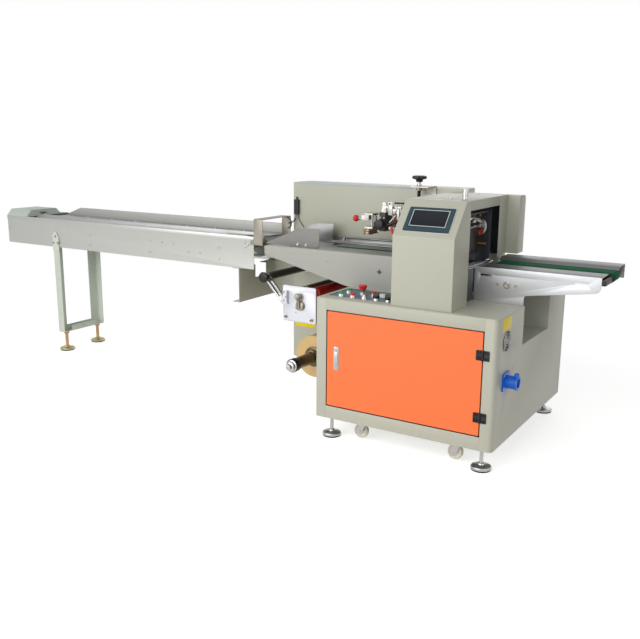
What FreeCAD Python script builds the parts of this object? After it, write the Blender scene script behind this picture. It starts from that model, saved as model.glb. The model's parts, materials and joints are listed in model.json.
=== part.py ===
import FreeCAD, Part

import math
import os

from FreeCAD import Vector

# Horizontal flow wrapper, millimetres.
# Working datum: x runs with the product and is 0 at the outfeed side of the base cabinet,
# y is 0 at the cabinet's front face and grows to the rear, z is 0 on the floor.
# publish() moves every node so that the origin lies on the floor, at the middle of the
# machine's overall length and depth.

# ---- fits and gaps -------------------------------------------------------------------
running_fit = 0.05        # radial clearance of a pin or shaft in its bore
side_play = 0.4           # axial clearance beside a turning part
seat_gap = 0.3            # clearance of a part that lies beside, and isn't fixed to, another

# ---- base cabinet --------------------------------------------------------------------
cabinet_length = 832.0
cabinet_depth = 949.0
cabinet_underside = 97.0
cabinet_top = 649.0
cabinet_sheet = 3.0
cabinet_corner_r = 20.0

# ---- cabinet door --------------------------------------------------------------------
door_opening_left = -782.0
door_opening_right = -54.0
door_opening_bottom = 155.0
door_opening_top = 596.0
door_gap = 5.0
door_depth = 18.0
door_skin = 2.0
door_corner_r = 4.0

hinge_width = 56.0
hinge_height = 42.0
hinge_leaf = 3.0
hinge_barrel_r = 4.5
hinge_pin_r = 2.5
hinge_pin_forward = 5.0
hinge_centres_z = (238.0, 498.0)

latch_width = 26.0
latch_height = 106.0
latch_thickness = 2.5
latch_centre_x = -729.0
latch_centre_z = 382.0

# ---- recess in the cabinet's outfeed side ---------------------------------------------
recess_depth_x = 232.0
recess_front_y = 317.0
recess_rear_y = 683.0
recess_floor_z = 480.0

# ---- cooling fan and power inlet on the outfeed side ----------------------------------
fan_y = 112.0
fan_z = 542.0
fan_r = 43.0
fan_frame = 92.0
fan_frame_depth = 25.0
fan_ring_wire_r = 1.4
fan_ring_count = 4
fan_blade_count = 7

inlet_y = 118.0
inlet_z = 372.0
inlet_flange = 75.0
inlet_flange_thickness = 6.0
inlet_body_r = 27.0
inlet_body_length = 50.0
inlet_socket_r = 21.0
inlet_pin_r = 3.0

# ---- control panel --------------------------------------------------------------------
panel_left = -815.0
panel_front = 62.0
panel_rear = 264.0
panel_lap = 8.0
panel_sheet = 3.0
button_row_front_y = 84.0
button_row_rear_y = 166.0
button_first_x = -757.0
button_pitch = 58.5
button_front_count = 5
button_collar_r = 14.0
button_collar_height = 12.0
button_cap_r = 11.0
button_cap_height = 9.0
selector_count = 2
selector_r = 15.0
selector_height = 20.0
stop_button_x = -693.0
stop_collar_r = 15.0
stop_stem_r = 10.0
stop_head_r = 20.0
stop_head_height = 21.0
stop_travel = 6.0
stop_clearance = 5.0

# ---- feet and casters -----------------------------------------------------------------
foot_inset_x = 56.0
foot_inset_y = 47.0
foot_disc_r = 43.0
foot_disc_height = 24.0
foot_stem_r = 8.0
foot_nut_r = 14.0
caster_inset_left = 217.0
caster_inset_right = 161.0
caster_inset_y = 80.0
caster_pad = 62.0
caster_pad_thickness = 4.0
caster_pivot_r = 5.0
caster_crown_r = 22.0
caster_crown_height = 6.0
caster_wheel_r = 33.0
caster_wheel_width = 24.0
caster_trail = 22.0
caster_axle_z = 41.0
caster_axle_r = 4.0
caster_leg_sheet = 3.0

# ---- rear housing ---------------------------------------------------------------------
panel_plane_y = 630.0
housing_left = -1375.0
housing_bottom = 152.0
housing_top = 1100.0
housing_depth = 150.0
housing_step_x = -425.0
housing_right = -150.0
housing_right_top = 1083.0
housing_right_depth = 82.0
housing_edge_r = 20.0
housing_passage_x = -235.0
housing_passage_top = 820.0

# ---- operator box and touch screen ----------------------------------------------------
operator_left = -480.0
operator_right = -206.0
operator_front_y = 21.0
operator_rear_y = 183.0
operator_break_z = 943.0
operator_slope_rear_y = 140.0
operator_top = 1086.0
screen_width = 203.0
screen_height = 118.0
screen_thickness = 6.0
screen_along = 84.0
screen_offset_x = 2.0
screen_window_width = 154.0
screen_window_height = 86.0
screen_recess = 1.5

# ---- end sealer -----------------------------------------------------------------------
hood_sheet = 3.0
hood_beam_bottom = 1045.0
hood_column_front_y = 530.0
sealer_plate_y = 500.0
sealer_plate_thickness = 14.0
sealer_plate_left = -385.0
sealer_plate_right = -236.0
sealer_shaft_x = -297.0
sealer_shaft_low_z = 690.0
sealer_shaft_high_z = 950.0
sealer_shaft_r = 17.0
sealer_ring_r = 46.0
sealer_tie_r = 7.0
sealer_tie_drop = 12.0
sealer_tie_inset = 18.0
sealer_head_room = 14.0
jaw_width = 46.0
jaw_height = 112.0
jaw_tooth_pitch = 9.0
jaw_tooth_depth = 3.0
comb_left = -258.0
comb_right = -214.0
comb_front_y = 213.0
comb_base = 5.0
comb_ridge = 4.0
comb_pitch = 9.0

# ---- film forming table ---------------------------------------------------------------
table_plate_y = 283.0
table_plate_thickness = 3.0
table_tip_x = -1318.0
table_tip_top = 806.0
table_tip_bottom = 762.0
table_kink_x = -870.0
table_kink_z = 656.0
table_top = 810.0
table_flange = 20.0
table_deck_rear_y = 612.0
table_right = -480.0
table_corner_cut = 90.0       # skew of the deck's infeed end
table_web_inset = 200.0
table_web_drop = 40.0
table_web_thickness = 10.0
table_rail_drop = 60.0
table_rail_rise = 24.0

strip_top = 807.5
strip_right = -483.0
strip_thickness = 2.0
strip_roller_r = 12.0
strip_bar_inset = 50.0
strip_bar_pitch = 125.0
strip_bar_count = 4
strip_front_near = 438.0
strip_front_far = 470.0
strip_front_left = -1000.0
strip_rear_near = 548.0
strip_rear_far = 572.0
strip_rear_left = -860.0

former_thickness = 2.0
former_front_y = 330.0
former_rear_y = 566.0
former_height = 96.0
former_base_length = 318.0
former_top_length = 118.0
former_front_right = -1028.0
former_rear_right = -1090.0
former_foot = 26.0

rail_r = 5.0
rail_left = -1075.0
rail_right = -482.0
rail_lift = 15.0
rail_front_y = 484.0
rail_middle_y = 526.0
rail_rear_y = 590.0
rail_rear_rise = 14.0
rail_bridge = 12.0
rail_overhang = 6.0

# ---- fin seal unit --------------------------------------------------------------------
fin_x = -822.0
fin_y = 470.0
fin_plate_low_z = 908.0
fin_plate_gap = 64.0          # from the lower clamp plate to the upper one
fin_plate_thickness = 8.0
fin_plate_length = 52.0
fin_plate_depth = 60.0
fin_wheel_r = 24.0
fin_wheel_height = 26.0
fin_post_r = 5.0
fin_block_x = -754.0
fin_knob_r = 25.0
fin_knob_y = 442.0
fin_knob_rise = 24.0          # above the lower clamp plate
fin_knob_x = -762.0
ball_r = 16.0
ball_rod_r = 4.5
ball_rod_length = 31.0
ball_drop = 20.0              # below the upper clamp plate

# ---- height adjuster on top -----------------------------------------------------------
height_knob_x = -620.0
height_knob_y = 566.0
height_knob_r = 35.0
height_knob_lift = 19.0       # from the bracket's shelf to the knob
height_knob_height = 31.0
height_sleeve_r = 14.0
height_sleeve_length = 14.0
height_collar_r = 12.0
height_collar_height = 8.0
height_stem_below = 60.0
height_stem_r = 8.0
height_bracket_z = 1104.0
height_bracket_width = 100.0
height_bracket_sheet = 7.0
height_bracket_offset = 12.0
height_bracket_reach = 30.0
height_leg_drop = 46.0

# ---- film reel ------------------------------------------------------------------------
reel_x = -1051.0
reel_z = 265.0
film_roll_r = 106.0
film_front_y = 327.0
film_rear_y = 597.0
chuck_r = 48.0
shaft_r = 29.0
shaft_nose_y = 92.0
shaft_ring_r = 33.0
bearing_floor = 3.0      # metal left behind a blind bearing bore

# ---- film draw rollers ----------------------------------------------------------------
bracket_left = -1193.0
bracket_right = -1002.0
bracket_bottom = 447.0
bracket_top = 625.0
bracket_front_y = 262.0
bracket_thickness = 12.0
draw_roller_r = 28.0
draw_roller_x = -1015.0
draw_roller_z = 600.0
nip_roller_r = 25.0
nip_roller_x = -1068.3
nip_roller_z = 605.0
roller_journal_r = 8.0
guide_roller_r = 19.0
guide_roller_x = -1293.0
guide_roller_z = 654.0
arm_knob_r = 28.0
lever_pivot_x = -1090.0
lever_pivot_z = 531.0
lever_length = 46.0
lever_disc_r = 24.0

# ---- outfeed conveyor -----------------------------------------------------------------
outfeed_plate_y = 317.0
outfeed_plate_thickness = 3.0
outfeed_left = -229.0
outfeed_tip = 303.0
outfeed_foot_right = -8.0
outfeed_under_root = 691.0
outfeed_under_tip = 734.0
outfeed_top = 798.0
outfeed_flange = 119.0
outfeed_corner_r = 26.0
outfeed_slot_z = 764.0
outfeed_slot_length = 50.0
outfeed_slot_width = 7.0
outfeed_slots_x = (-178.0, 224.0)
belt_front_y = 439.0
belt_rear_y = 541.0
belt_thickness = 3.0
belt_top = 800.0
belt_end_x = 326.0
belt_roller_r = 18.0
guard_front_y = 545.0
guard_rear_y = 655.0
guard_top = 813.0
guard_bottom = 752.0
guard_tip = 320.0

# ---- infeed conveyor ------------------------------------------------------------------
infeed_left = -3403.0
infeed_right = -1453.0
infeed_front_y = 375.0
infeed_rear_y = 702.0
infeed_sheet = 3.0
infeed_bottom = 659.0
infeed_top = 830.0
infeed_hem_height = 19.0
infeed_hem_proud = 2.0
infeed_deck_z = 820.0
infeed_slot_y = 512.0
infeed_slot_width = 34.0
chain_height = 12.0
chain_width = 16.0
chain_sprocket_r = 48.0
lug_count = 9
lug_height = 22.0
lug_thickness = 6.0
lug_width = 14.0
guide_left = -3190.0
guide_front_y = 430.0
guide_front_top = 846.0
guide_rear_y = 676.0
guide_rear_top = 870.0
guide_sheet = 2.0
guide_lead_in = 120.0

cover_length = 203.0
cover_top_z = 872.0
cover_band_z = 834.0
cover_slope_front = 33.0
cover_slope_end = 46.0
cover_window_width = 46.0
cover_window_height = 24.0
cover_sheet = 2.0
cover_tail_bottom = 700.0

stand_x = -2960.0
stand_leg_width = 51.0
stand_leg_depth = 62.0
stand_leg_sheet = 4.0
stand_leg_bottom = 121.0
stand_tab_top = 760.0
stand_tab_width = 52.0
stand_foot_disc_r = 45.0
stand_foot_height = 22.0
stand_foot_stem_r = 10.0
stand_foot_nut_r = 17.0
stand_foot_inset = 36.0

# ---- joint between infeed and forming table --------------------------------------------
gantry_left = -1450.0
gantry_width = 56.0
gantry_front_y = 372.0
gantry_rear_y = 630.0
gantry_top = 922.0
gantry_sheet = 3.0
gantry_foot_z = 788.0
gantry_tab = 22.0
channel_web_x = -1550.0
channel_flange = 45.0
channel_bottom = 474.0
channel_front_y = 375.0
channel_notch_front_y = 520.0
channel_notch_rear_y = 620.0
channel_notch_z = 590.0
channel_cross_y = 701.0
channel_sheet = 4.0
amplifier_x = -1351.0
amplifier_width = 28.0
amplifier_depth = 14.0
amplifier_bottom = 933.0
amplifier_top = 1010.0

# ---- values that follow from the sizes above -------------------------------------------
height_knob_bottom = height_bracket_z + height_bracket_sheet + height_knob_lift
height_knob_top = height_knob_bottom + height_knob_height
fin_plate_high_z = fin_plate_low_z + fin_plate_gap
fin_knob_z = fin_plate_low_z + fin_knob_rise
ball_z = fin_plate_high_z - ball_drop
cabinet_left = -cabinet_length
hinge_pin_x = door_opening_right - door_gap / 2
hinge_barrel_front = -hinge_pin_forward - hinge_barrel_r
overall_left = infeed_left
overall_right = belt_end_x
overall_front = hinge_barrel_front
overall_rear = cabinet_depth
origin_x = (overall_left + overall_right) / 2
origin_y = (overall_front + overall_rear) / 2


# ======================================================================================
# shape helpers
# ======================================================================================

def block(x0, x1, y0, y1, z0, z1):
    """Rectangular solid between two corners."""
    return Part.makeBox(x1 - x0, y1 - y0, z1 - z0, Vector(x0, y0, z0))


def rod(radius, start, end):
    """Round bar from start to end."""
    run = end - start
    return Part.makeCylinder(radius, run.Length, start, run)


def rounded_wire(corners, radii):
    """Closed wire through 3D corners, each rounded by the radius of the same index."""
    count = len(corners)
    enters, leaves, arcs = [], [], []
    for i, here in enumerate(corners):
        if not radii[i]:
            enters.append(here)
            leaves.append(here)
            arcs.append(None)
            continue
        back = (corners[i - 1] - here).normalize()
        ahead = (corners[(i + 1) % count] - here).normalize()
        half = back.getAngle(ahead) / 2
        reach = radii[i] / math.tan(half)
        centre = here + (back + ahead).normalize() * (radii[i] / math.sin(half))
        enters.append(here + back * reach)
        leaves.append(here + ahead * reach)
        middle = centre + (here - centre).normalize() * radii[i]
        arcs.append(Part.Arc(enters[i], middle, leaves[i]).toShape())
    edges = []
    for i in range(count):
        if arcs[i]:
            edges.append(arcs[i])
        following = enters[(i + 1) % count]
        if (following - leaves[i]).Length > 1e-6:
            edges.append(Part.LineSegment(leaves[i], following).toShape())
    return Part.Wire(edges)


def prism(corners, run, radii=None):
    """Solid made by pushing a closed outline along run."""
    wire = rounded_wire(corners, radii or [0] * len(corners))
    return Part.Face(wire).extrude(run)


def plate_xz(outline, y0, y1, radii=None):
    """Plate parallel to the machine's front, from an (x, z) outline."""
    return prism([Vector(x, y0, z) for x, z in outline], Vector(0, y1 - y0, 0), radii)


def plate_yz(outline, x0, x1, radii=None):
    """Plate across the product's path, from a (y, z) outline."""
    return prism([Vector(x0, y, z) for y, z in outline], Vector(x1 - x0, 0, 0), radii)


def plate_xy(outline, z0, z1, radii=None):
    """Horizontal plate from an (x, y) outline."""
    return prism([Vector(x, y, z0) for x, y in outline], Vector(0, 0, z1 - z0), radii)


def rectangle(u0, u1, v0, v1):
    """Corners of a rectangle, as an outline for the plate functions."""
    return [(u0, v0), (u1, v0), (u1, v1), (u0, v1)]


def turned(profile, origin, axis):
    """Solid of revolution: profile holds (radius, distance along the axis) points."""
    axis = Vector(axis).normalize()
    side = axis.cross(Vector(0, 0, 1))
    if side.Length < 0.5:
        side = Vector(1, 0, 0)
    side.normalize()
    points = [origin + side * r + axis * a for r, a in profile]
    face = Part.Face(Part.makePolygon(points + [points[0]]))
    return face.revolve(origin, axis, 360)


def hexagon(across_flats, centre, run):
    """Hexagonal nut or bolt head pushed along run."""
    axis = Vector(run).normalize()
    side = axis.cross(Vector(0, 0, 1))
    if side.Length < 0.5:
        side = Vector(1, 0, 0)
    side.normalize()
    up = axis.cross(side)
    radius = across_flats / math.sqrt(3)
    corners = [centre + side * (radius * math.cos(math.radians(60 * k)))
               + up * (radius * math.sin(math.radians(60 * k))) for k in range(6)]
    return prism(corners, run)


def slot_xz(x, z, length, width, y0, y1):
    """Round-ended slot cutter, long along x, through a front-facing plate."""
    half, r = length / 2, width / 2
    return plate_xz(rectangle(x - half, x + half, z - r, z + r), y0, y1, [r * 0.999] * 4)


def fused(*solids):
    """One solid from several that touch or overlap."""
    result = solids[0].fuse(list(solids[1:])) if len(solids) > 1 else solids[0]
    return result.removeSplitter()


def publish(name, *solids):
    """Writes the solids of one node, moved from the working datum to the origin."""
    shape = solids[0].copy() if len(solids) == 1 else Part.makeCompound(list(solids))
    shape.translate(Vector(-origin_x, -origin_y, 0))
    shape.exportStep("parts/%s.step" % name)


# ======================================================================================
# base cabinet
# ======================================================================================

def foot_places():
    """Centres of the cabinet's four levelling feet."""
    xs = (cabinet_left + foot_inset_x, -foot_inset_x)
    ys = (foot_inset_y, cabinet_depth - foot_inset_y)
    return [(x, y) for y in ys for x in xs]


def caster_places():
    """Pivot centres of the four casters."""
    xs = (cabinet_left + caster_inset_left, -caster_inset_right)
    ys = (caster_inset_y, cabinet_depth - caster_inset_y)
    return [(x, y) for y in ys for x in xs]


def make_cabinet_floor():
    """Bottom sheet with the caster pads and the pins that the forks turn on."""
    s = cabinet_sheet
    z0 = cabinet_underside
    inner_r = cabinet_corner_r - s
    floor = plate_xy(rectangle(cabinet_left + s, -s, s, cabinet_depth - s), z0, z0 + s,
                     [0, inner_r, 0, 0])
    parts = [floor]
    crown_top = z0 - caster_pad_thickness - side_play
    pin_bottom = crown_top - caster_crown_height - side_play
    for x, y in caster_places():
        half = caster_pad / 2
        parts.append(block(x - half, x + half, y - half, y + half,
                           z0 - caster_pad_thickness, z0))
        parts.append(rod(caster_pivot_r, Vector(x, y, z0), Vector(x, y, pin_bottom)))
        parts.append(rod(caster_pivot_r * 1.7, Vector(x, y, pin_bottom),
                         Vector(x, y, pin_bottom - 3)))
    publish("cabinet_floor", fused(*parts))


def make_cabinet_front():
    """Header and sill of the doorway, and the two posts; the right post turns the corner."""
    s = cabinet_sheet
    z0, z1 = cabinet_underside, cabinet_top - s
    left, right = door_opening_left, door_opening_right
    header = block(left, right, 0, s, door_opening_top, z1)
    sill = block(left, right, 0, s, z0, door_opening_bottom)
    publish("cabinet_front_rails", header, sill)
    left_post = block(cabinet_left, left, 0, s, z0, z1)
    r = cabinet_corner_r
    outline = [(right, 0), (0, 0), (0, r), (-s, r), (-s, s), (right, s)]
    right_post = plate_xy(outline, z0, z1, [0, r * 0.999, 0, 0, r - s, 0])
    publish("cabinet_front_posts", left_post, right_post)


def make_cabinet_walls():
    """Left, right and rear walls; the right wall has the recess, fan and inlet cut-outs."""
    s = cabinet_sheet
    z0, z1 = cabinet_underside, cabinet_top - s
    rear = cabinet_depth
    left_wall = block(cabinet_left, cabinet_left + s, s, rear - s, z0, z1)
    publish("cabinet_rear_wall", block(cabinet_left, 0, rear - s, rear, z0, z1))
    outline = [(cabinet_corner_r, z0), (rear - s, z0), (rear - s, z1), (recess_rear_y, z1),
               (recess_rear_y, recess_floor_z), (recess_front_y, recess_floor_z),
               (recess_front_y, z1), (cabinet_corner_r, z1)]
    wall = plate_yz(outline, -s, 0)
    fan_hole = rod(fan_r, Vector(-2 * s, fan_y, fan_z), Vector(s, fan_y, fan_z))
    inlet_hole = rod(inlet_body_r - 2, Vector(-2 * s, inlet_y, inlet_z), Vector(s, inlet_y, inlet_z))
    publish("cabinet_side_walls", left_wall, wall.cut(fan_hole).cut(inlet_hole))


def make_cabinet_deck():
    """Top sheet, with the control panel cut-out and the recess folded down into it."""
    s = cabinet_sheet
    z0, z1 = cabinet_top - s, cabinet_top
    deck = plate_xy(rectangle(cabinet_left, 0, 0, cabinet_depth), z0, z1,
                    [0, cabinet_corner_r, 0, 0])
    opening = block(panel_left, operator_left - panel_lap / 2, panel_front, panel_rear, z0, z1)
    inner_left = -recess_depth_x
    hollow = block(inner_left, 0, recess_front_y, recess_rear_y, recess_floor_z, z1)
    tray = block(inner_left - s, -s, recess_front_y - s, recess_rear_y + s,
                 recess_floor_z - s, z0)
    publish("cabinet_deck", fused(deck.cut(opening), tray).cut(hollow))


def make_door():
    """Folded steel door: a front skin with returns on all four edges, and its fittings."""
    x0, x1 = door_opening_left + door_gap, door_opening_right - door_gap
    z0, z1 = door_opening_bottom + door_gap, door_opening_top - door_gap
    t = door_skin
    pan = plate_xz(rectangle(x0, x1, z0, z1), 0, door_depth, [door_corner_r] * 4)
    inside = plate_xz(rectangle(x0 + t, x1 - t, z0 + t, z1 - t), t, door_depth,
                      [door_corner_r - t] * 4)
    publish("cabinet_door", pan.cut(inside))
    publish("door_hardware", door_latch(), *[hinge_door_half(z) for z in hinge_centres_z])
    publish("cabinet_hinge_leaves", *[hinge_cabinet_half(z) for z in hinge_centres_z])


def hinge_barrel(z0, z1, radius):
    """Length of hinge barrel or pin about the door's axis."""
    return rod(radius, Vector(hinge_pin_x, -hinge_pin_forward, z0),
               Vector(hinge_pin_x, -hinge_pin_forward, z1))


def hinge_leaf_blank(x_outer, z):
    """Flat leaf from the barrel's axis to x_outer, seated on the front faces."""
    x0, x1 = sorted((hinge_pin_x, x_outer))
    half = hinge_height / 2
    radii = [0, 3, 3, 0] if x_outer > hinge_pin_x else [3, 0, 0, 3]
    return plate_xz(rectangle(x0, x1, z - half, z + half), -hinge_leaf, 0, radii)


def hinge_cabinet_half(z):
    """Leaf on the cabinet's post, with the two outer knuckles and the pin."""
    half, knuckle = hinge_height / 2, hinge_height / 3
    leaf = hinge_leaf_blank(hinge_pin_x + hinge_width / 2, z)
    relief = hinge_barrel(z - half, z + half, hinge_barrel_r + 0.6)
    low = hinge_barrel(z - half, z - half + knuckle, hinge_barrel_r)
    high = hinge_barrel(z + half - knuckle, z + half, hinge_barrel_r)
    pin = hinge_barrel(z - half, z + half, hinge_pin_r)
    middle = block(hinge_pin_x - 1, hinge_pin_x + hinge_width / 4, -hinge_leaf, 0,
                   z - half + knuckle, z + half - knuckle)
    return fused(leaf.cut(middle.common(relief)), low, high, pin)


def hinge_door_half(z):
    """Leaf on the door, with the middle knuckle bored for the pin."""
    half, knuckle = hinge_height / 2, hinge_height / 3
    leaf = hinge_leaf_blank(hinge_pin_x - hinge_width / 2, z)
    k0, k1 = z - half + knuckle + side_play, z + half - knuckle - side_play
    reach = hinge_barrel_r + 0.6
    ends = [hinge_barrel(z - half - 1, k0, reach), hinge_barrel(k1, z + half + 1, reach)]
    bore = hinge_barrel(k0 - 1, k1 + 1, hinge_pin_r + running_fit)
    return fused(leaf.cut(Part.makeCompound(ends)), hinge_barrel(k0, k1, hinge_barrel_r)).cut(bore)


def door_latch():
    """Flush door latch: a long plate with a raised paddle, a push button and a keyway."""
    x, z = latch_centre_x, latch_centre_z
    w, h, t = latch_width / 2, latch_height / 2, latch_thickness
    plate = plate_xz(rectangle(x - w, x + w, z - h, z + h), -t, 0, [3] * 4)
    paddle = plate_xz(rectangle(x - w + 5, x + w - 5, z - h / 2, z + h / 2 + 6), -t - 3, -t, [2] * 4)
    button = turned([(0, 0), (6, 0), (6, 2.5), (4.5, 4), (0, 4)],
                    Vector(x, -t, z + h - 14), Vector(0, -1, 0))
    keyway = rod(3, Vector(x, -t - 4, z), Vector(x, -t - 1.5, z))
    return fused(plate, paddle, button).cut(keyway)


def levelling_foot(x, y, top, disc_r, disc_height, stem_r, nut_r):
    """Rubber-soled disc, ball neck, threaded stem and lock nut, as one solid."""
    sole = disc_height * 0.3
    profile = [(0, 0), (disc_r - 3, 0), (disc_r - 1, sole * 0.3), (disc_r - 1, sole),
               (disc_r, sole), (disc_r, disc_height * 0.62), (disc_r - 3, disc_height * 0.78),
               (stem_r * 1.9, disc_height), (stem_r * 1.6, disc_height * 1.25),
               (stem_r, disc_height * 1.35), (stem_r, top), (0, top)]
    foot = turned(profile, Vector(x, y, 0), Vector(0, 0, 1))
    nut_height = stem_r * 1.5
    nut = hexagon(nut_r * 1.732, Vector(x, y, top - nut_height), Vector(0, 0, nut_height))
    return fused(foot, nut)


def make_feet():
    """Levelling feet of the cabinet and of the infeed's stand."""
    feet = [levelling_foot(x, y, cabinet_underside, foot_disc_r, foot_disc_height,
                           foot_stem_r, foot_nut_r) for x, y in foot_places()]
    feet += [levelling_foot(stand_x, y, stand_leg_bottom, stand_foot_disc_r, stand_foot_height,
                            stand_foot_stem_r, stand_foot_nut_r)
             for y in (infeed_front_y + stand_foot_inset, infeed_rear_y - stand_foot_inset)]
    publish("levelling_feet", *feet)


def make_caster(index, x, y):
    """Swivel fork and its wheel; the fork trails towards the infeed."""
    top = cabinet_underside - caster_pad_thickness - side_play
    axle_x = x - caster_trail
    axle = Vector(axle_x, y, caster_axle_z)
    crown = rod(caster_crown_r, Vector(x, y, top - caster_crown_height), Vector(x, y, top))
    inner = caster_wheel_width / 2 + 1 + side_play
    outer = inner + caster_leg_sheet
    bridge = plate_xy([(x + caster_crown_r * 0.6, y - outer), (x + caster_crown_r * 0.6, y + outer),
                       (axle_x - 2, y + outer), (axle_x - 2, y - outer)],
                      top - caster_crown_height, top - caster_crown_height / 2)
    leg_outline = [(x + caster_crown_r * 0.6, top - caster_crown_height / 2),
                   (axle_x + 7, caster_axle_z - 8), (axle_x - 9, caster_axle_z - 8),
                   (axle_x - 9, caster_axle_z + 14), (axle_x - 2, top - caster_crown_height / 2)]
    legs = [plate_xz(leg_outline, y + a, y + b, [0, 6, 6, 4, 0])
            for a, b in ((-outer, -inner), (inner, outer))]
    pin = rod(caster_axle_r, axle - Vector(0, outer + 3, 0), axle + Vector(0, outer + 3, 0))
    bore = rod(caster_pivot_r + running_fit, Vector(x, y, caster_axle_z), Vector(x, y, top + 1))
    fork = fused(crown, bridge, *legs).cut(bore)
    publish("caster_fork_%d" % index, fused(fork, pin))
    half, r, hub = caster_wheel_width / 2, caster_wheel_r, caster_wheel_width / 2 + 1
    bore_r = caster_axle_r + running_fit
    profile = [(bore_r, -hub), (12, -hub), (14, -hub + 5), (r - 8, -hub + 5), (r - 6, -half),
               (r - 3, -half), (r, -half + 4), (r, half - 4), (r - 3, half), (r - 6, half),
               (r - 8, hub - 5), (14, hub - 5), (12, hub), (bore_r, hub)]
    publish("caster_wheel_%d" % index, turned(profile, axle, Vector(0, 1, 0)))


def make_fan_guard():
    """Axial fan behind the wall and its round wire guard outside."""
    centre = Vector(0, fan_y, fan_z)
    half = fan_frame / 2
    s = cabinet_sheet
    frame = plate_yz(rectangle(fan_y - half, fan_y + half, fan_z - half, fan_z + half),
                     -s - fan_frame_depth, -s, [6] * 4)
    tunnel = rod(fan_r, centre - Vector(s + fan_frame_depth + 1, 0, 0), centre)
    hub = rod(fan_r * 0.42, centre - Vector(s + fan_frame_depth, 0, 0), centre - Vector(s + 2, 0, 0))
    blades = []
    for k in range(fan_blade_count):
        blade = block(-s - fan_frame_depth + 5, -s - 5, fan_y - 1, fan_y + 1,
                      fan_z + fan_r * 0.35, fan_z + fan_r - 1.5)
        blade.rotate(Vector(0, fan_y, fan_z), Vector(0, 0, 1), 38)
        blade.rotate(centre, Vector(1, 0, 0), 360.0 * k / fan_blade_count)
        blades.append(blade)
    spider = [block(-s - fan_frame_depth, -s - fan_frame_depth + 3, fan_y - fan_r - 1, fan_y + fan_r + 1,
                    fan_z - 3, fan_z + 3),
              block(-s - fan_frame_depth, -s - fan_frame_depth + 3, fan_y - 3, fan_y + 3,
                    fan_z - fan_r - 1, fan_z + fan_r + 1)]
    fan = fused(frame.cut(tunnel), hub, *(blades + spider))
    rings = []
    w = fan_ring_wire_r
    for k in range(fan_ring_count):
        ring_r = fan_r * (k + 1) / fan_ring_count
        rings.append(Part.makeTorus(ring_r, w, Vector(2.5 * w, fan_y, fan_z), Vector(1, 0, 0)))
    arms = [rod(w, centre + Vector(1.2 * w, 0, 0) + turn * fan_r * 1.12,
                centre + Vector(1.2 * w, 0, 0) - turn * fan_r * 1.12)
            for turn in (Vector(0, 0.7071, 0.7071), Vector(0, 0.7071, -0.7071))]
    publish("cooling_fan", fan, fused(*(rings + arms)))


def make_power_inlet():
    """Surface inlet: square flange, round shrouded body with three pins, hinged lid lug."""
    y, z = inlet_y, inlet_z
    half, t = inlet_flange / 2, inlet_flange_thickness
    flange = plate_yz(rectangle(y - half, y + half, z - half, z + half), 0, t, [5] * 4)
    end = t + inlet_body_length
    body = turned([(0, 0), (inlet_body_r, 0), (inlet_body_r, end - t - 8),
                   (inlet_body_r + 3, end - t - 8), (inlet_body_r + 3, end - t), (0, end - t)],
                  Vector(t, y, z), Vector(1, 0, 0))
    socket = rod(inlet_socket_r, Vector(t + 8, y, z), Vector(end + 1, y, z))
    pins = [rod(inlet_pin_r, Vector(t + 6, y + 11 * math.cos(a), z + 11 * math.sin(a)),
                Vector(end - 10, y + 11 * math.cos(a), z + 11 * math.sin(a)))
            for a in (math.radians(90 + 120 * k) for k in range(3))]
    lugs = plate_yz([(y - 14, z), (y + 14, z), (y + 10, z + inlet_body_r + 13),
                     (y - 10, z + inlet_body_r + 13)], end - 16, end - 1, [0, 0, 4, 4])
    gap = block(end - 17, end, y - 5, y + 5, z + inlet_body_r + 3, z + inlet_body_r + 14)
    neck = rod(inlet_body_r + 2, Vector(end - 17, y, z), Vector(end, y, z))
    lugs = lugs.cut(gap).cut(neck)
    publish("power_inlet", fused(fused(flange, body, lugs).cut(socket), *pins))


# ======================================================================================
# control panel, operator box, rear housing, end sealer
# ======================================================================================

def make_control_panel():
    """Plate under the deck's cut-out, with push buttons and selector knobs on collars."""
    top = cabinet_top - cabinet_sheet
    right = operator_left - panel_lap / 2
    plate = plate_xy(rectangle(panel_left - panel_lap, right + 2, panel_front - panel_lap,
                               panel_rear + panel_lap), top - panel_sheet, top)
    bore = stop_stem_r + running_fit
    buttons = [turned([(bore, 0), (stop_collar_r, 0), (stop_collar_r, button_collar_height - 2),
                       (stop_collar_r - 2, button_collar_height), (bore, button_collar_height)],
                      Vector(stop_button_x, button_row_rear_y, top), Vector(0, 0, 1))]
    for k in range(button_front_count):
        x = button_first_x + button_pitch * k
        is_selector = k >= button_front_count - selector_count
        buttons.append(push_button(x, button_row_front_y, top, is_selector))
    for x in (stop_button_x - button_pitch * 1.2, stop_button_x + button_pitch * 0.95):
        buttons.append(push_button(x, button_row_rear_y, top, False))
    switch_x = stop_button_x + button_pitch * 1.75
    buttons.append(plate_xy(rectangle(switch_x - 15, switch_x + 15, button_row_rear_y - 11,
                                      button_row_rear_y + 11), top, top + 14, [3] * 4))
    publish("control_panel", fused(plate, *buttons))


def push_button(x, y, z, is_selector):
    """Chrome collar with a domed cap, or with a winged selector knob on it."""
    c, h = button_collar_r, button_collar_height
    profile = [(0, 0), (c, 0), (c, h - 2), (c - 2, h), (button_cap_r, h)]
    if is_selector:
        profile += [(selector_r, h), (selector_r, h + selector_height * 0.4),
                    (selector_r - 3, h + selector_height * 0.45), (0, h + selector_height * 0.45)]
    else:
        cap = h + button_cap_height
        profile += [(button_cap_r, cap - 3), (button_cap_r - 3, cap), (0, cap)]
    body = turned(profile, Vector(x, y, z), Vector(0, 0, 1))
    if not is_selector:
        return body
    wing = plate_xy(rectangle(x - selector_r, x + selector_r, y - 4.5, y + 4.5),
                    z + h, z + h + selector_height, [4] * 4)
    return fused(body, wing)


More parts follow.
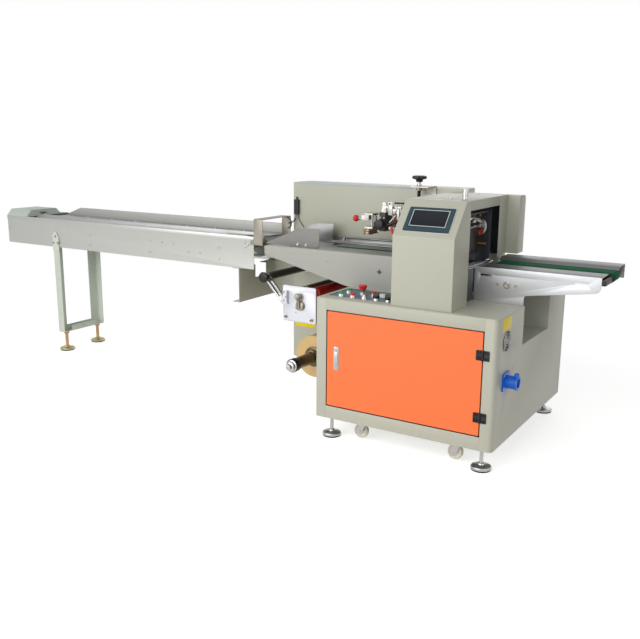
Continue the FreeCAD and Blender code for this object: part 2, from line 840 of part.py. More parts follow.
def make_emergency_stop():
    """Mushroom push button: a stem that slides in its collar, with a flared red head."""
    z0 = stop_travel + 1
    z1 = button_collar_height + stop_travel + stop_clearance
    z2 = z1 + stop_head_height
    s, r = stop_stem_r, stop_head_r
    profile = [(0, z0), (s, z0), (s, z1), (r * 0.78, z1), (r * 0.8, z1 + 8), (r, z2 - 5),
               (r, z2 - 2), (r - 4, z2), (0, z2)]
    origin = Vector(stop_button_x, button_row_rear_y, cabinet_top - cabinet_sheet)
    publish("emergency_stop", turned(profile, origin, Vector(0, 0, 1)))


def make_rear_housing():
    """Closed drive housing behind the product's path, with the lower right-hand end."""
    y = panel_plane_y
    left = plate_xz([(housing_left, housing_bottom), (cabinet_left, housing_bottom),
                     (cabinet_left, cabinet_top), (housing_step_x, cabinet_top),
                     (housing_step_x, housing_top), (housing_left, housing_top)],
                    y, y + housing_depth, [6, 0, 0, 0, 4, 4])
    end = plate_yz(rectangle(y, y + housing_right_depth, cabinet_top, housing_right_top),
                   housing_step_x, housing_right, [0, 0, housing_edge_r, 3])
    passage = block(housing_passage_x, housing_right + 1, y - 1, y + housing_right_depth + 1,
                    cabinet_top - 1, housing_passage_top)
    publish("rear_housing", fused(left, end).cut(passage))


def make_operator_box():
    """Pedestal with the sloping face that carries the touch screen."""
    outline = [(operator_front_y, cabinet_top), (operator_rear_y, cabinet_top),
               (operator_rear_y, operator_top), (operator_slope_rear_y, operator_top),
               (operator_front_y, operator_break_z)]
    publish("operator_box", plate_yz(outline, operator_left, operator_right, [0, 0, 0, 5, 5]))


def screen_frame():
    """Middle of the touch screen on the slope, its up direction and its outward normal."""
    low = Vector(0, operator_front_y, operator_break_z)
    high = Vector(0, operator_slope_rear_y, operator_top)
    up = (high - low).normalize()
    normal = Vector(1, 0, 0).cross(up)
    middle_x = (operator_left + operator_right) / 2 + screen_offset_x
    middle = low + up * screen_along
    return Vector(middle_x, middle.y, middle.z), up, normal


def make_touch_screen():
    """Bezel with rounded corners and a slightly sunk display window."""
    middle, up, normal = screen_frame()
    across = Vector(1, 0, 0)

    def slab(width, height, start, end, radius):
        corners = [middle + across * (sx * width / 2) + up * (sy * height / 2) + normal * start
                   for sx, sy in ((-1, -1), (1, -1), (1, 1), (-1, 1))]
        return prism(corners, normal * (end - start), [radius] * 4)

    bezel = slab(screen_width, screen_height, 0, screen_thickness, 4)
    window = slab(screen_window_width, screen_window_height,
                  screen_thickness - screen_recess, screen_thickness + 1, 1)
    publish("touch_screen", bezel.cut(window))


def make_sealer_hood():
    """Guard over the end sealer: a top with two side beams, and the rear columns."""
    x0, x1, s = operator_left, operator_right, hood_sheet
    y0, y1, y2 = operator_rear_y, hood_column_front_y, panel_plane_y
    z1 = operator_top
    top = block(x0, x1, y0, y2, z1 - s, z1)
    beams = [block(a, b, y0, y1, hood_beam_bottom, z1 - s)
             for a, b in ((x0, x0 + s), (x1 - s, x1))]
    publish("sealer_hood_top", fused(top, *beams))
    column_bottom = guard_top + seat_gap
    columns = [block(a, b, y1, y2, column_bottom, z1 - s)
               for a, b in ((x0, x0 + s), (x1 - s, x1))]
    wall = block(x0 + s, x1 - s, y2 - s, y2, column_bottom, z1 - s)
    publish("sealer_hood_columns", fused(wall, *columns))


def make_sealer_unit():
    """Bearing plates, the two jaw shafts and the toothed cross-seal jaws."""
    y0 = operator_rear_y
    y_rear = sealer_plate_y
    t = sealer_plate_thickness
    z0, z1 = cabinet_top, hood_beam_bottom - sealer_head_room
    plates = []
    for a, b in ((y0 + seat_gap, y0 + seat_gap + t), (y_rear, y_rear + t)):
        plates.append(plate_xz(rectangle(sealer_plate_left, sealer_plate_right, z0, z1), a, b,
                               [0, 0, 6, 6]))
    shafts = [rod(sealer_shaft_r, Vector(sealer_shaft_x, y0 + t, z),
                  Vector(sealer_shaft_x, y_rear + 1, z))
              for z in (sealer_shaft_low_z, sealer_shaft_high_z)]
    ring = turned([(sealer_shaft_r - 1, 0), (sealer_ring_r, 0), (sealer_ring_r, 7),
                   (sealer_ring_r - 9, 9), (sealer_ring_r - 9, 3), (sealer_shaft_r - 1, 3)],
                  Vector(sealer_shaft_x, y_rear, sealer_shaft_high_z), Vector(0, -1, 0))
    jaws = [sealing_jaw(sealer_shaft_low_z, 1), sealing_jaw(sealer_shaft_high_z, -1)]
    tie_z = z1 - sealer_tie_drop
    ties = [rod(sealer_tie_r, Vector(x, y0 + t, tie_z), Vector(x, y_rear + 1, tie_z))
            for x in (sealer_plate_left + sealer_tie_inset, sealer_plate_right - sealer_tie_inset)]
    publish("sealer_unit", fused(*(plates + shafts + jaws + ties + [ring])))


def sealing_jaw(shaft_z, side):
    """Jaw bar on its shaft, with serrations across its sealing face."""
    y0 = operator_rear_y + sealer_plate_thickness + 45
    y1 = sealer_plate_y - 45
    half = jaw_width / 2
    tip = shaft_z + side * jaw_height
    profile = [(sealer_shaft_x - half, shaft_z), (sealer_shaft_x - half, tip)]
    teeth = int(jaw_width / jaw_tooth_pitch)
    step = jaw_width / teeth
    for k in range(teeth):
        x = sealer_shaft_x - half + step * k
        profile += [(x + step / 2, tip - side * jaw_tooth_depth), (x + step, tip)]
    profile.append((sealer_shaft_x + half, shaft_z))
    return plate_xz(profile, y0, y1)


def make_slide_comb():
    """Ridged slide plate that hands the packs from the sealer to the outfeed belt."""
    y0, y1 = comb_front_y, sealer_plate_y - seat_gap
    z0 = outfeed_top
    z1 = z0 + comb_base
    base = block(comb_left, comb_right, y0, y1, z0, z1)
    count = int((comb_right - comb_left) / comb_pitch)
    ridges = [block(x, x + comb_pitch / 3, y0, y1, z1, z1 + comb_ridge)
              for x in (comb_left + comb_pitch * (k + 0.3) for k in range(count))]
    publish("slide_comb", fused(base, *ridges))


# ======================================================================================
# forming table
# ======================================================================================

def make_table():
    """Tapered front plate with its inward flange, and the table behind it."""
    y, t = table_plate_y, table_plate_thickness
    outline = [(table_tip_x, table_tip_top), (table_tip_x, table_tip_bottom),
               (table_kink_x, table_kink_z), (cabinet_left, cabinet_top),
               (table_right, cabinet_top), (table_right, table_top)]
    front = plate_xz(outline, y, y + t, [0, 12, 40, 0, 0, 0])
    flange = block(table_tip_x + 16, table_right, y + t, y + table_flange, table_top - t, table_top)
    publish("table_front_plate", fused(front, flange))
    z = table_top - t
    deck = plate_xy([(table_tip_x + 6, y + t), (table_right, y + t), (table_right, table_deck_rear_y),
                     (table_tip_x + table_corner_cut, table_deck_rear_y)], z - t, z)
    for y0, y1, x0 in belt_strips():
        deck = deck.cut(block(x0, table_right + 1, y0 - 2, y1 + 2, z - t - 1, z + 1))
    rear = block(table_tip_x + table_corner_cut, table_right, table_deck_rear_y, table_deck_rear_y + t,
                 z - table_rail_drop, z + table_rail_rise)
    web = block(table_tip_x + table_web_inset, table_right, table_deck_rear_y + t, panel_plane_y,
                z - table_web_drop, z - table_web_drop + table_web_thickness)
    publish("table_deck", fused(deck, rear, web, *strip_beds()))


def belt_strips():
    """Front edge, rear edge and left end of each transport belt in the table."""
    return ((strip_front_near, strip_front_far, strip_front_left),
            (strip_rear_near, strip_rear_far, strip_rear_left))


def strip_beds():
    """Slide bed and end rollers inside each transport belt, on cross bars to the rear rail."""
    top = strip_top - strip_thickness
    axis_z = top - strip_roller_r
    solids = []
    for y0, y1, x0 in belt_strips():
        ends = (x0 + strip_thickness + strip_roller_r, strip_right - strip_thickness - strip_roller_r)
        solids.append(block(ends[0], ends[1], y0, y1, axis_z - 2, top))
        solids += [rod(strip_roller_r - seat_gap, Vector(x, y0, axis_z), Vector(x, y1, axis_z)) for x in ends]
    bottom = axis_z - 4
    for k in range(strip_bar_count):
        x = belt_strips()[0][2] + strip_bar_inset + strip_bar_pitch * k
        solids.append(block(x, x + 20, belt_strips()[0][0] - 4, table_deck_rear_y, bottom,
                            table_top - 2 * table_plate_thickness))
    return solids


def make_film_formers():
    """Tapering film guides with bolted feet, and the polished bars of the forming box."""
    z = table_top - table_plate_thickness
    publish("film_formers", former_plate(former_front_y, former_front_right, 1, z),
            former_plate(former_rear_y, former_rear_right, -1, z), forming_rails(z))


def former_plate(y, right, inward, base):
    """One film guide: a tapering sheet with a foot folded inward along its lower edge."""
    top = base + former_height
    outline = [(right - former_base_length, base + 4), (right, base + 4), (right, top),
               (right - former_top_length, top - 4)]
    sheet = plate_xz(outline, y, y + former_thickness)
    y0, y1 = sorted((y + (0 if inward > 0 else former_thickness), y + inward * former_foot))
    x0, x1 = right - former_base_length * 0.55, right - 20
    foot = block(x0, x1, y0, y1, base, base + former_thickness)
    riser = block(x0, x1, y, y + former_thickness, base, base + 5)
    return fused(sheet, foot, riser)


def forming_rails(base):
    """Polished bars that hold the film tube open, on a bridge at each end."""
    z = base + rail_lift
    bars = [rod(rail_r, Vector(rail_left, y, z + dz), Vector(rail_right, y, z + dz))
            for y, dz in ((rail_front_y, 0.0), (rail_middle_y, 0.0), (rail_rear_y, rail_rear_rise))]
    w = rail_bridge
    y0, y1 = rail_front_y - rail_overhang, rail_rear_y + rail_overhang
    foot_y = (rail_front_y + rail_middle_y) / 2 - w / 2
    under = z - rail_r
    bridges = []
    for x in (rail_left + 2.5 * w, rail_right - 5 * w):
        bridges.append(block(x, x + w, y0, y1, under - 3, under + 2))
        bridges.append(block(x, x + w, foot_y, foot_y + w, base, under - 3))
        bridges.append(block(x, x + w, y1 - w, y1, under + 2, z + rail_rear_rise))
    return fused(*(bars + bridges))


def belt_loop(x0, x1, y0, y1, top, radius, thickness):
    """Flat belt loop round two rollers of the same radius."""
    r = radius + thickness
    outer = plate_xz(rectangle(x0, x1, top - 2 * r, top), y0, y1, [r * 0.999] * 4)
    inner = plate_xz(rectangle(x0 + thickness, x1 - thickness, top - 2 * r + thickness, top - thickness),
                     y0, y1, [radius * 0.999] * 4)
    return outer.cut(inner)


def make_belts():
    """Outfeed belt and the two narrow transport belts in the table."""
    outfeed = belt_loop(outfeed_left + 30, belt_end_x, belt_front_y, belt_rear_y, belt_top,
                        belt_roller_r, belt_thickness)
    strips = [belt_loop(x0, strip_right, y0, y1, strip_top, strip_roller_r, strip_thickness)
              for y0, y1, x0 in belt_strips()]
    publish("conveyor_belts", outfeed, *strips)


# ======================================================================================
# fin seal unit and height adjuster
# ======================================================================================

def make_fin_seal_unit():
    """Clamp plates, seal wheels, heater block, lifting post and the arm to the rear panel."""
    x, y = fin_x, fin_y
    half, d, t = fin_plate_length / 2, fin_plate_depth / 2, fin_plate_thickness
    plates = [plate_xy(rectangle(x - half, x + half, y - d, y + d), z, z + t, [6] * 4)
              for z in (fin_plate_low_z, fin_plate_high_z)]
    posts = [rod(fin_post_r, Vector(x + dx, y + dy, fin_plate_low_z),
                 Vector(x + dx, y + dy, fin_plate_high_z))
             for dx, dy in ((-6, 16), (16, -18), (16, 16))]
    wheels = []
    for dy in (-fin_wheel_r - 0.5, fin_wheel_r + 0.5):
        centre = Vector(x, y + dy, fin_plate_low_z)
        wheels.append(turned([(0, 0), (8, 0), (8, 6), (fin_wheel_r, 6), (fin_wheel_r, 10),
                              (fin_wheel_r - 5, 12), (fin_wheel_r - 5, fin_wheel_height - 6),
                              (fin_wheel_r, fin_wheel_height - 4), (fin_wheel_r, fin_wheel_height),
                              (0, fin_wheel_height)], centre, Vector(0, 0, -1)))
    heater = plate_xy(rectangle(fin_block_x - 22, fin_block_x + 14, y - 8, y + 60),
                      fin_plate_low_z - 10, fin_plate_high_z + 14, [4] * 4)
    bridge = block(x, fin_block_x, y + 4, y + 24, fin_plate_high_z - 10, fin_plate_high_z)
    bridge_low = block(x, fin_block_x, y + 4, y + 24, fin_plate_low_z, fin_plate_low_z + t)
    post = plate_xz([(fin_block_x - 14, fin_plate_high_z), (fin_block_x + 10, fin_plate_high_z),
                     (fin_block_x + 10, fin_plate_high_z + 62), (fin_block_x - 14, fin_plate_high_z + 62)],
                    y + 2, y + 12, [0, 0, 11.9, 11.9])
    eye = rod(5, Vector(fin_block_x - 2, y, fin_plate_high_z + 50),
              Vector(fin_block_x - 2, y + 14, fin_plate_high_z + 50))
    knob_bore = rod(5 + running_fit, Vector(fin_knob_x, y - 9, fin_knob_z),
                    Vector(fin_knob_x, y + 12, fin_knob_z))
    bar = block(fin_block_x + 10, fin_block_x + 90, y + 2, y + 12, fin_plate_high_z + 34,
                fin_plate_high_z + 44)
    arm = block(fin_block_x - 16, fin_block_x + 8, y + 60, panel_plane_y, fin_plate_low_z, fin_plate_high_z)
    flange = plate_xz(rectangle(fin_block_x - 34, fin_block_x + 26, fin_plate_low_z - 18,
                                fin_plate_high_z + 18), panel_plane_y - 8, panel_plane_y, [5] * 4)
    unit = fused(*(plates + posts + wheels
                   + [heater, bridge, bridge_low, post, eye, bar, arm, flange, lever_lug()]))
    publish("fin_seal_unit", unit.cut(knob_bore))


def make_ball_lever():
    """Red ball on its threaded rod, turning in a lug of the fin seal unit."""
    hub_x = fin_x - fin_plate_length / 2 - 8
    y = fin_y - 10
    end = hub_x - ball_rod_length
    rod_solid = rod(ball_rod_r, Vector(end, y, ball_z), Vector(hub_x, y, ball_z))
    hub = rod(9, Vector(hub_x, y - 9, ball_z), Vector(hub_x, y + 9, ball_z))
    bore = rod(4 + running_fit, Vector(hub_x, y - 10, ball_z), Vector(hub_x, y + 10, ball_z))
    ball = Part.makeSphere(ball_r, Vector(end - ball_r + 4, y, ball_z), Vector(1, 0, 0))
    collars = [rod(ball_rod_r + 2, Vector(end + a, y, ball_z), Vector(end + a + 5, y, ball_z))
               for a in (5, 14)]
    publish("ball_lever", fused(*([rod_solid, ball] + collars + [hub])).cut(bore))


def lever_lug():
    """Lug pair and pin that the ball lever turns on, fixed to the upper clamp plate."""
    hub_x = fin_x - fin_plate_length / 2 - 8
    y = fin_y - 10
    cheeks = [plate_xz([(hub_x - 9, ball_z - 9), (fin_x, ball_z - 9), (fin_x, fin_plate_high_z),
                        (hub_x - 9, fin_plate_high_z)], y + a, y + b, [8, 0, 0, 3])
              for a, b in ((-9 - side_play - 5, -9 - side_play), (9 + side_play, 9 + side_play + 5))]
    pin = rod(4, Vector(hub_x, y - 15, ball_z), Vector(hub_x, y + 15, ball_z))
    return fused(*(cheeks + [pin]))


def star_knob(radius, height, lobes, origin, axis):
    """Lobed hand knob with a hub, standing on origin along axis."""
    axis = Vector(axis).normalize()
    side = axis.cross(Vector(0, 0, 1))
    if side.Length < 0.5:
        side = Vector(1, 0, 0)
    side.normalize()
    up = axis.cross(side)
    body = turned([(0, 0), (radius * 0.42, 0), (radius * 0.5, height * 0.35), (radius * 0.96, height * 0.5),
                   (radius, height * 0.66), (radius * 0.94, height * 0.9), (radius * 0.6, height),
                   (0, height)], origin, axis)
    cutters = []
    for k in range(lobes):
        angle = 2 * math.pi * k / lobes
        centre = origin + (side * math.cos(angle) + up * math.sin(angle)) * (radius * 1.14)
        cutters.append(rod(radius * 0.26, centre + axis * (height * 0.36), centre + axis * (height + 1)))
    return body.cut(Part.makeCompound(cutters))


def make_height_adjuster():
    """Bracket on the rear housing's face, threaded sleeve, and the star knob with its stem."""
    x, y, z = height_knob_x, height_knob_y, height_bracket_z
    s, half = height_bracket_sheet, height_bracket_width / 2
    middle = x + height_bracket_offset
    shelf = plate_xy(rectangle(middle - half, middle + half, y - height_bracket_reach, panel_plane_y),
                     z, z + s, [6, 6, 0, 0])
    leg = plate_xz(rectangle(middle, middle + half, z - height_leg_drop, z),
                   panel_plane_y - s, panel_plane_y, [5, 5, 0, 0])
    bore_r = height_stem_r + running_fit
    bore = rod(bore_r, Vector(x, y, z - 1), Vector(x, y, z + s + 1))
    low = -height_sleeve_length
    sleeve = turned([(bore_r, low), (height_sleeve_r, low), (height_sleeve_r, 0), (bore_r, 0)],
                    Vector(x, y, z), Vector(0, 0, 1))
    publish("height_bracket", fused(shelf.cut(bore), leg, sleeve))
    stem = rod(height_stem_r, Vector(x, y, z - height_stem_below), Vector(x, y, height_knob_bottom + 4))
    inner = height_stem_r - 1
    collar = turned([(inner, 0), (height_collar_r, 0), (height_collar_r, height_collar_height),
                     (inner, height_collar_height)],
                    Vector(x, y, z + s + seat_gap), Vector(0, 0, 1))
    knob = star_knob(height_knob_r, height_knob_top - height_knob_bottom, 6,
                     Vector(x, y, height_knob_bottom), Vector(0, 0, 1))
    publish("height_knob", fused(stem, collar, knob))


def make_fin_knob():
    """Round hand knob in front of the fin seal unit, on its short shaft."""
    x, z = fin_knob_x, fin_knob_z
    shaft = rod(5, Vector(x, fin_knob_y, z), Vector(x, fin_y + 11, z))
    knob = star_knob(fin_knob_r, 24, 8, Vector(x, fin_knob_y + 6, z), Vector(0, -1, 0))
    publish("fin_seal_knob", fused(shaft, knob))


# ======================================================================================
# film reel and draw rollers
# ======================================================================================

def make_film_reel():
    """Cantilevered shaft with its stepped nose, and the film roll on its chuck."""
    start = Vector(reel_x, shaft_nose_y, reel_z)
    length = panel_plane_y - bearing_floor - side_play - shaft_nose_y
    film_at = film_front_y - shaft_nose_y
    profile = [(0, 0), (12, 0), (14, 3), (14, 16), (21, 18), (24, 22), (24, 30), (shaft_ring_r - 3, 32),
               (shaft_ring_r, 35), (shaft_ring_r, 68), (shaft_ring_r - 2, 72), (shaft_r, 72),
               (shaft_r, length), (0, length)]
    shaft = turned(profile, start, Vector(0, 1, 0))
    depth = film_rear_y - film_front_y
    chuck = turned([(shaft_r, -26), (shaft_r + 9, -26), (shaft_r + 9, -8), (chuck_r + 3, -6),
                    (chuck_r + 3, 0), (chuck_r, 0), (chuck_r, depth), (shaft_r, depth)],
                   start + Vector(0, film_at, 0), Vector(0, 1, 0))
    publish("film_shaft", fused(shaft, chuck))
    roll = turned([(chuck_r, 0), (film_roll_r, 0), (film_roll_r, depth), (chuck_r, depth)],
                  start + Vector(0, film_at, 0), Vector(0, 1, 0))
    publish("film_roll", roll)


def shaft_socket():
    """Bearing housing on the rear panel that carries the reel's shaft."""
    return turned([(0, 0), (60, 0), (60, 10), (42, 16), (42, 30), (shaft_r + running_fit, 30),
                   (shaft_r + running_fit, bearing_floor), (0, bearing_floor)],
                  Vector(reel_x, panel_plane_y, reel_z), Vector(0, -1, 0))


def make_roller_bracket():
    """Outer support plate of the draw rollers, with its stays back to the rear panel."""
    y0, y1 = bracket_front_y, bracket_front_y + bracket_thickness
    plate = plate_xz(rectangle(bracket_left, bracket_right, bracket_bottom, bracket_top), y0, y1, [8] * 4)
    slot = plate_xz(rectangle(bracket_left + 27, bracket_left + 43, bracket_top - 92, bracket_top - 26),
                    y0 - 1, y1 - 4, [2] * 4)
    guide = plate_xz(rectangle(bracket_left + 2, bracket_left + 25, bracket_top - 92, bracket_top - 26),
                     y0 - 6, y0, [2] * 4)
    bores = [rod(roller_journal_r + running_fit, Vector(x, y0 - 1, z), Vector(x, y1 + 1, z))
             for x, z in ((draw_roller_x, draw_roller_z),)]
    bores.append(rod(roller_journal_r + running_fit, Vector(nip_roller_x, y1 - 8, nip_roller_z),
                     Vector(nip_roller_x, y1 + 1, nip_roller_z)))
    pivot = rod(6 + running_fit, Vector(lever_pivot_x, y0 - 1, lever_pivot_z),
                Vector(lever_pivot_x, y1 + 1, lever_pivot_z))
    stays = [rod(9, Vector(x, y1, z), Vector(x, panel_plane_y, z))
             for x, z in ((bracket_left + 20, bracket_bottom + 18),
                          (bracket_right - 22, bracket_bottom + 18))]
    solid = fused(plate.cut(slot).cut(Part.makeCompound(bores + [pivot])), guide, *stays)
    rear_block = plate_xz(rectangle(nip_roller_x - 26, draw_roller_x + 24, draw_roller_z - 24,
                                    nip_roller_z + 20), panel_plane_y - 16, panel_plane_y, [8] * 4)
    rear_bores = [rod(roller_journal_r + running_fit, Vector(x, panel_plane_y - 17, z),
                      Vector(x, panel_plane_y - bearing_floor, z))
                  for x, z in ((draw_roller_x, draw_roller_z), (nip_roller_x, nip_roller_z))]
    rear_block = rear_block.cut(Part.makeCompound(rear_bores))
    publish("roller_bracket", solid, rear_block, shaft_socket(), guide_roller_lug())


def roller(name, radius, x, z, y_front, y_rear, journal_front, journal_rear):
    """Turned roller with a journal at each end."""
    profile = [(0, journal_front), (roller_journal_r, journal_front), (roller_journal_r, y_front),
               (radius - 1.5, y_front), (radius, y_front + 1.5), (radius, y_rear - 1.5),
               (radius - 1.5, y_rear), (roller_journal_r, y_rear), (roller_journal_r, journal_rear),
               (0, journal_rear)]
    publish(name, turned(profile, Vector(x, 0, z), Vector(0, 1, 0)))


def make_rollers():
    """Red draw roller, dark nip roller and the guide roller on the swing arm."""
    y1 = bracket_front_y + bracket_thickness
    y_front, y_rear = y1 + side_play * 2, panel_plane_y - 16 - side_play * 2
    journal_end = panel_plane_y - bearing_floor - side_play
    roller("draw_roller", draw_roller_r, draw_roller_x, draw_roller_z, y_front, y_rear,
           bracket_front_y, journal_end)
    roller("nip_roller", nip_roller_r, nip_roller_x, nip_roller_z, y_front, y_rear,
           y1 - 7, journal_end)
    roller("guide_roller", guide_roller_r, guide_roller_x, guide_roller_z, y1 + side_play,
           panel_plane_y - 14 - side_play, y1 - 8, journal_end)


def guide_roller_lug():
    """Bearing lug on the rear panel for the guide roller."""
    x, z = guide_roller_x, guide_roller_z
    lug = plate_xz(rectangle(x - 22, x + 22, z - 22, z + 22), panel_plane_y - 14, panel_plane_y, [10] * 4)
    bore = rod(roller_journal_r + running_fit, Vector(x, panel_plane_y - 15, z),
               Vector(x, panel_plane_y - bearing_floor, z))
    return lug.cut(bore)


def make_swing_arm():
    """Twin-bar arm from the bracket's edge to the guide roller, and its clamp knob."""
    y0 = bracket_front_y
    y1 = y0 + bracket_thickness
    foot = Vector(bracket_left - 8, 0, bracket_top - 72)
    head = Vector(guide_roller_x, 0, guide_roller_z)
    length = (head - foot).Length
    along = (head - foot).normalize()
    across = Vector(-along.z, 0, along.x)

    def bar(offset, half, start, end):
        a, b = foot + along * start, foot + along * end
        corners = [a + across * (offset - half), b + across * (offset - half),
                   b + across * (offset + half), a + across * (offset + half)]
        return prism([Vector(c.x, y0, c.z) for c in corners], Vector(0, y1 - y0, 0))

    bars = [bar(offset, 5, -18, length - 14) for offset in (-11.0, 11.0)]
    base = bar(0, 16, -22, 16)
    eye = rod(18, Vector(head.x, y0, head.z), Vector(head.x, y1, head.z))
    bore = rod(roller_journal_r + running_fit, Vector(head.x, y1 - 9, head.z),
               Vector(head.x, y1 + 1, head.z))
    stud_r = 5.0
    stud_bore = rod(stud_r + running_fit, Vector(head.x, y0 - 1, head.z), Vector(head.x, y0 - 1, head.z)
                    + Vector(0, 3, 0))
    beside_plate = block(bracket_left, bracket_left + 60, y0 - 1, y1 + 1, bracket_bottom, bracket_top + 50)
    publish("swing_arm", fused(*(bars + [base, eye])).cut(bore).cut(stud_bore).cut(beside_plate))
    stud = rod(stud_r, Vector(head.x, y0 - 12, head.z), Vector(head.x, y0 + 1.6, head.z))
    knob = star_knob(arm_knob_r, 26, 8, Vector(head.x, y0 - 6, head.z), Vector(0, -1, 0))
    publish("arm_knob", fused(stud, knob))


def make_nip_lever():
    """Cam lever that opens the nip: round base, straight handle and turned grip."""
    y0 = bracket_front_y
    base = turned([(0, seat_gap), (lever_disc_r, seat_gap), (lever_disc_r, 8), (lever_disc_r - 4, 12),
                   (0, 12)], Vector(lever_pivot_x, y0, lever_pivot_z), Vector(0, -1, 0))
    shaft = rod(6, Vector(lever_pivot_x, y0 - 1, lever_pivot_z),
                Vector(lever_pivot_x, y0 + bracket_thickness - 1, lever_pivot_z))
    x, z = lever_pivot_x, lever_pivot_z
    handle = plate_xz([(x - 2, z - 14), (x + 8, z - 14), (x, z + lever_length), (x - 10, z + lever_length)],
                      y0 - 20, y0 - 10, [4, 4, 3, 3])
    grip = turned([(0, 0), (10, 0), (17, 7), (17, 15), (12, 22), (0, 22)],
                  Vector(x - 5, y0 - 8, z + lever_length), Vector(0, -1, 0))
    publish("nip_lever", fused(base, shaft, handle, grip))


# ======================================================================================
# outfeed conveyor
# ======================================================================================

def make_outfeed():
    """Front plate with its top flange, rear guard, end roller blocks and cross ties."""
    y, t = outfeed_plate_y, outfeed_plate_thickness
    outline = [(outfeed_left, outfeed_top), (outfeed_left, cabinet_top),
               (outfeed_foot_right, cabinet_top), (outfeed_foot_right, outfeed_under_root),
               (outfeed_tip, outfeed_under_tip), (outfeed_tip, outfeed_top)]
    plate = plate_xz(outline, y, y + t, [0, 0, 3, 14, outfeed_corner_r, 0])
    for x in outfeed_slots_x:
        plate = plate.cut(slot_xz(x, outfeed_slot_z, outfeed_slot_length, outfeed_slot_width,
                                  y - 1, y + t + 1))
    flange = block(outfeed_left, outfeed_tip, y + t, y + outfeed_flange, outfeed_top - t, outfeed_top)
    publish("outfeed_front_plate", fused(plate, flange))
    profile = [(guard_front_y, guard_top - 14), (guard_front_y + 12, guard_top - 3),
               (guard_front_y + 26, guard_top),
               (guard_rear_y, guard_top), (guard_rear_y, guard_bottom), (guard_rear_y - t, guard_bottom),
               (guard_rear_y - t, guard_top - t), (guard_front_y + 26, guard_top - t),
               (guard_front_y + 13, guard_top - t - 3), (guard_front_y + 1, guard_top - 14 - t)]
    guard = plate_yz(profile, operator_right + 6, guard_tip)
    publish("outfeed_rear_guard", guard)
    make_outfeed_frame()


def make_outfeed_frame():
    """Slide bed under the belt, its side bars, the end roller and drive roller."""
    y0, y1 = belt_front_y, belt_rear_y
    axis_z = belt_top - belt_thickness - belt_roller_r
    roller_x = (belt_end_x - belt_thickness - belt_roller_r,
                outfeed_left + 30 + belt_thickness + belt_roller_r)
    rollers = [rod(belt_roller_r - seat_gap, Vector(x, y0, axis_z), Vector(x, y1, axis_z))
               for x in roller_x]
    journals = [rod(8, Vector(x, y0 - 14, axis_z), Vector(x, y1 + 4, axis_z)) for x in roller_x]
    bed = block(roller_x[1] + 30, roller_x[0] - 30, y0, y1, axis_z - 6, axis_z + belt_roller_r - seat_gap)
    bars = [block(roller_x[1] - 20, roller_x[0] + 14, a, b, axis_z - 14, axis_z + 12)
            for a, b in ((y0 - 14, y0 - 4), (y1 + 4, y1 + 10))]
    links = [block(x, x + 30, y0 - 5, y1 + 5, axis_z - 6, axis_z + 6)
             for x in (roller_x[1] + 40, roller_x[0] - 80)]
    ties = [block(x, x + 40, outfeed_plate_y + outfeed_plate_thickness, y0 - 13, axis_z - 14, axis_z + 8)
            for x in (roller_x[1] + 10, roller_x[0] - 26)]
    rear = [block(x, x + 40, y1 + 9, guard_rear_y - outfeed_plate_thickness, axis_z - 14, axis_z + 8)
            for x in (roller_x[1] + 40, roller_x[0] - 40)]
    publish("outfeed_frame", fused(*(rollers + journals + bars + links + ties + rear + [bed])))


# ======================================================================================
# infeed conveyor
# ======================================================================================

def make_infeed_sides():
    """Two long side plates; a hem is folded over the outside of each top edge."""
    t, hem = infeed_sheet, infeed_hem_proud
    z0, z1 = infeed_bottom, infeed_top
    solids = []
    for inner, outer in ((infeed_front_y + t, infeed_front_y), (infeed_rear_y - t, infeed_rear_y)):
        a, b = sorted((inner, outer))
        plate = plate_xz(rectangle(infeed_left, infeed_right, z0, z1), a, b, [4, 4, 0, 0])
        out = outer - hem if outer < inner else outer + hem
        a, b = sorted((outer, out))
        strip = block(infeed_left, infeed_right, a, b, z1 - infeed_hem_height, z1)
        solids.append(fused(plate, strip))
    publish("infeed_side_plates", *solids)


def make_infeed_deck():
    """Slide deck in two halves beside the chain's slot, on cross members."""
    y0, y1 = infeed_front_y + infeed_sheet, infeed_rear_y - infeed_sheet
    half = infeed_slot_width / 2
    z = infeed_deck_z
    x0, x1 = infeed_left + cover_length - 12, infeed_right - 8
    halves = [block(x0, x1, a, b, z - 3, z)
              for a, b in ((y0, infeed_slot_y - half), (infeed_slot_y + half, y1))]
    count = 5
    ties = []
    for k in range(count):
        x = x0 + 60 + (x1 - x0 - 160) * k / (count - 1)
        for a, b in ((y0, infeed_slot_y - half), (infeed_slot_y + half, y1)):
            ties.append(block(x, x + 30, a, b, z - 23, z - 3))
    sides = [fused(halves[0], *ties[0::2]), fused(halves[1], *ties[1::2])]
    publish("infeed_deck", *sides)


def chain_levels():
    """Sprocket centres along x and the chain's centre height."""
    x0 = infeed_left + chain_sprocket_r + 40
    x1 = infeed_right - chain_sprocket_r - 12
    return x0, x1, infeed_deck_z - 6 - chain_height / 2 - chain_sprocket_r


def make_infeed_chain():
    """Chain loop with pusher lugs standing out of it at even spacing."""
    x0, x1, z = chain_levels()
    r, h, w = chain_sprocket_r, chain_height / 2, chain_width / 2
    y0, y1 = infeed_slot_y - w, infeed_slot_y + w
    outer = plate_xz(rectangle(x0 - r - h, x1 + r + h, z - r - h, z + r + h), y0, y1,
                     [(r + h) * 0.999] * 4)
    inner = plate_xz(rectangle(x0 - r + h, x1 + r - h, z - r + h, z + r - h), y0, y1,
                     [(r - h) * 0.999] * 4)
    loop = outer.cut(inner)
    lugs = []
    run = x1 - x0
    for k in range(lug_count):
        x = x0 + run * (k + 0.5) / lug_count
        lugs.append(block(x, x + lug_thickness, infeed_slot_y - lug_width / 2,
                          infeed_slot_y + lug_width / 2, z + r + h - 1, infeed_deck_z + lug_height))
    publish("infeed_chain", fused(loop, *lugs), *sprocket_shafts())


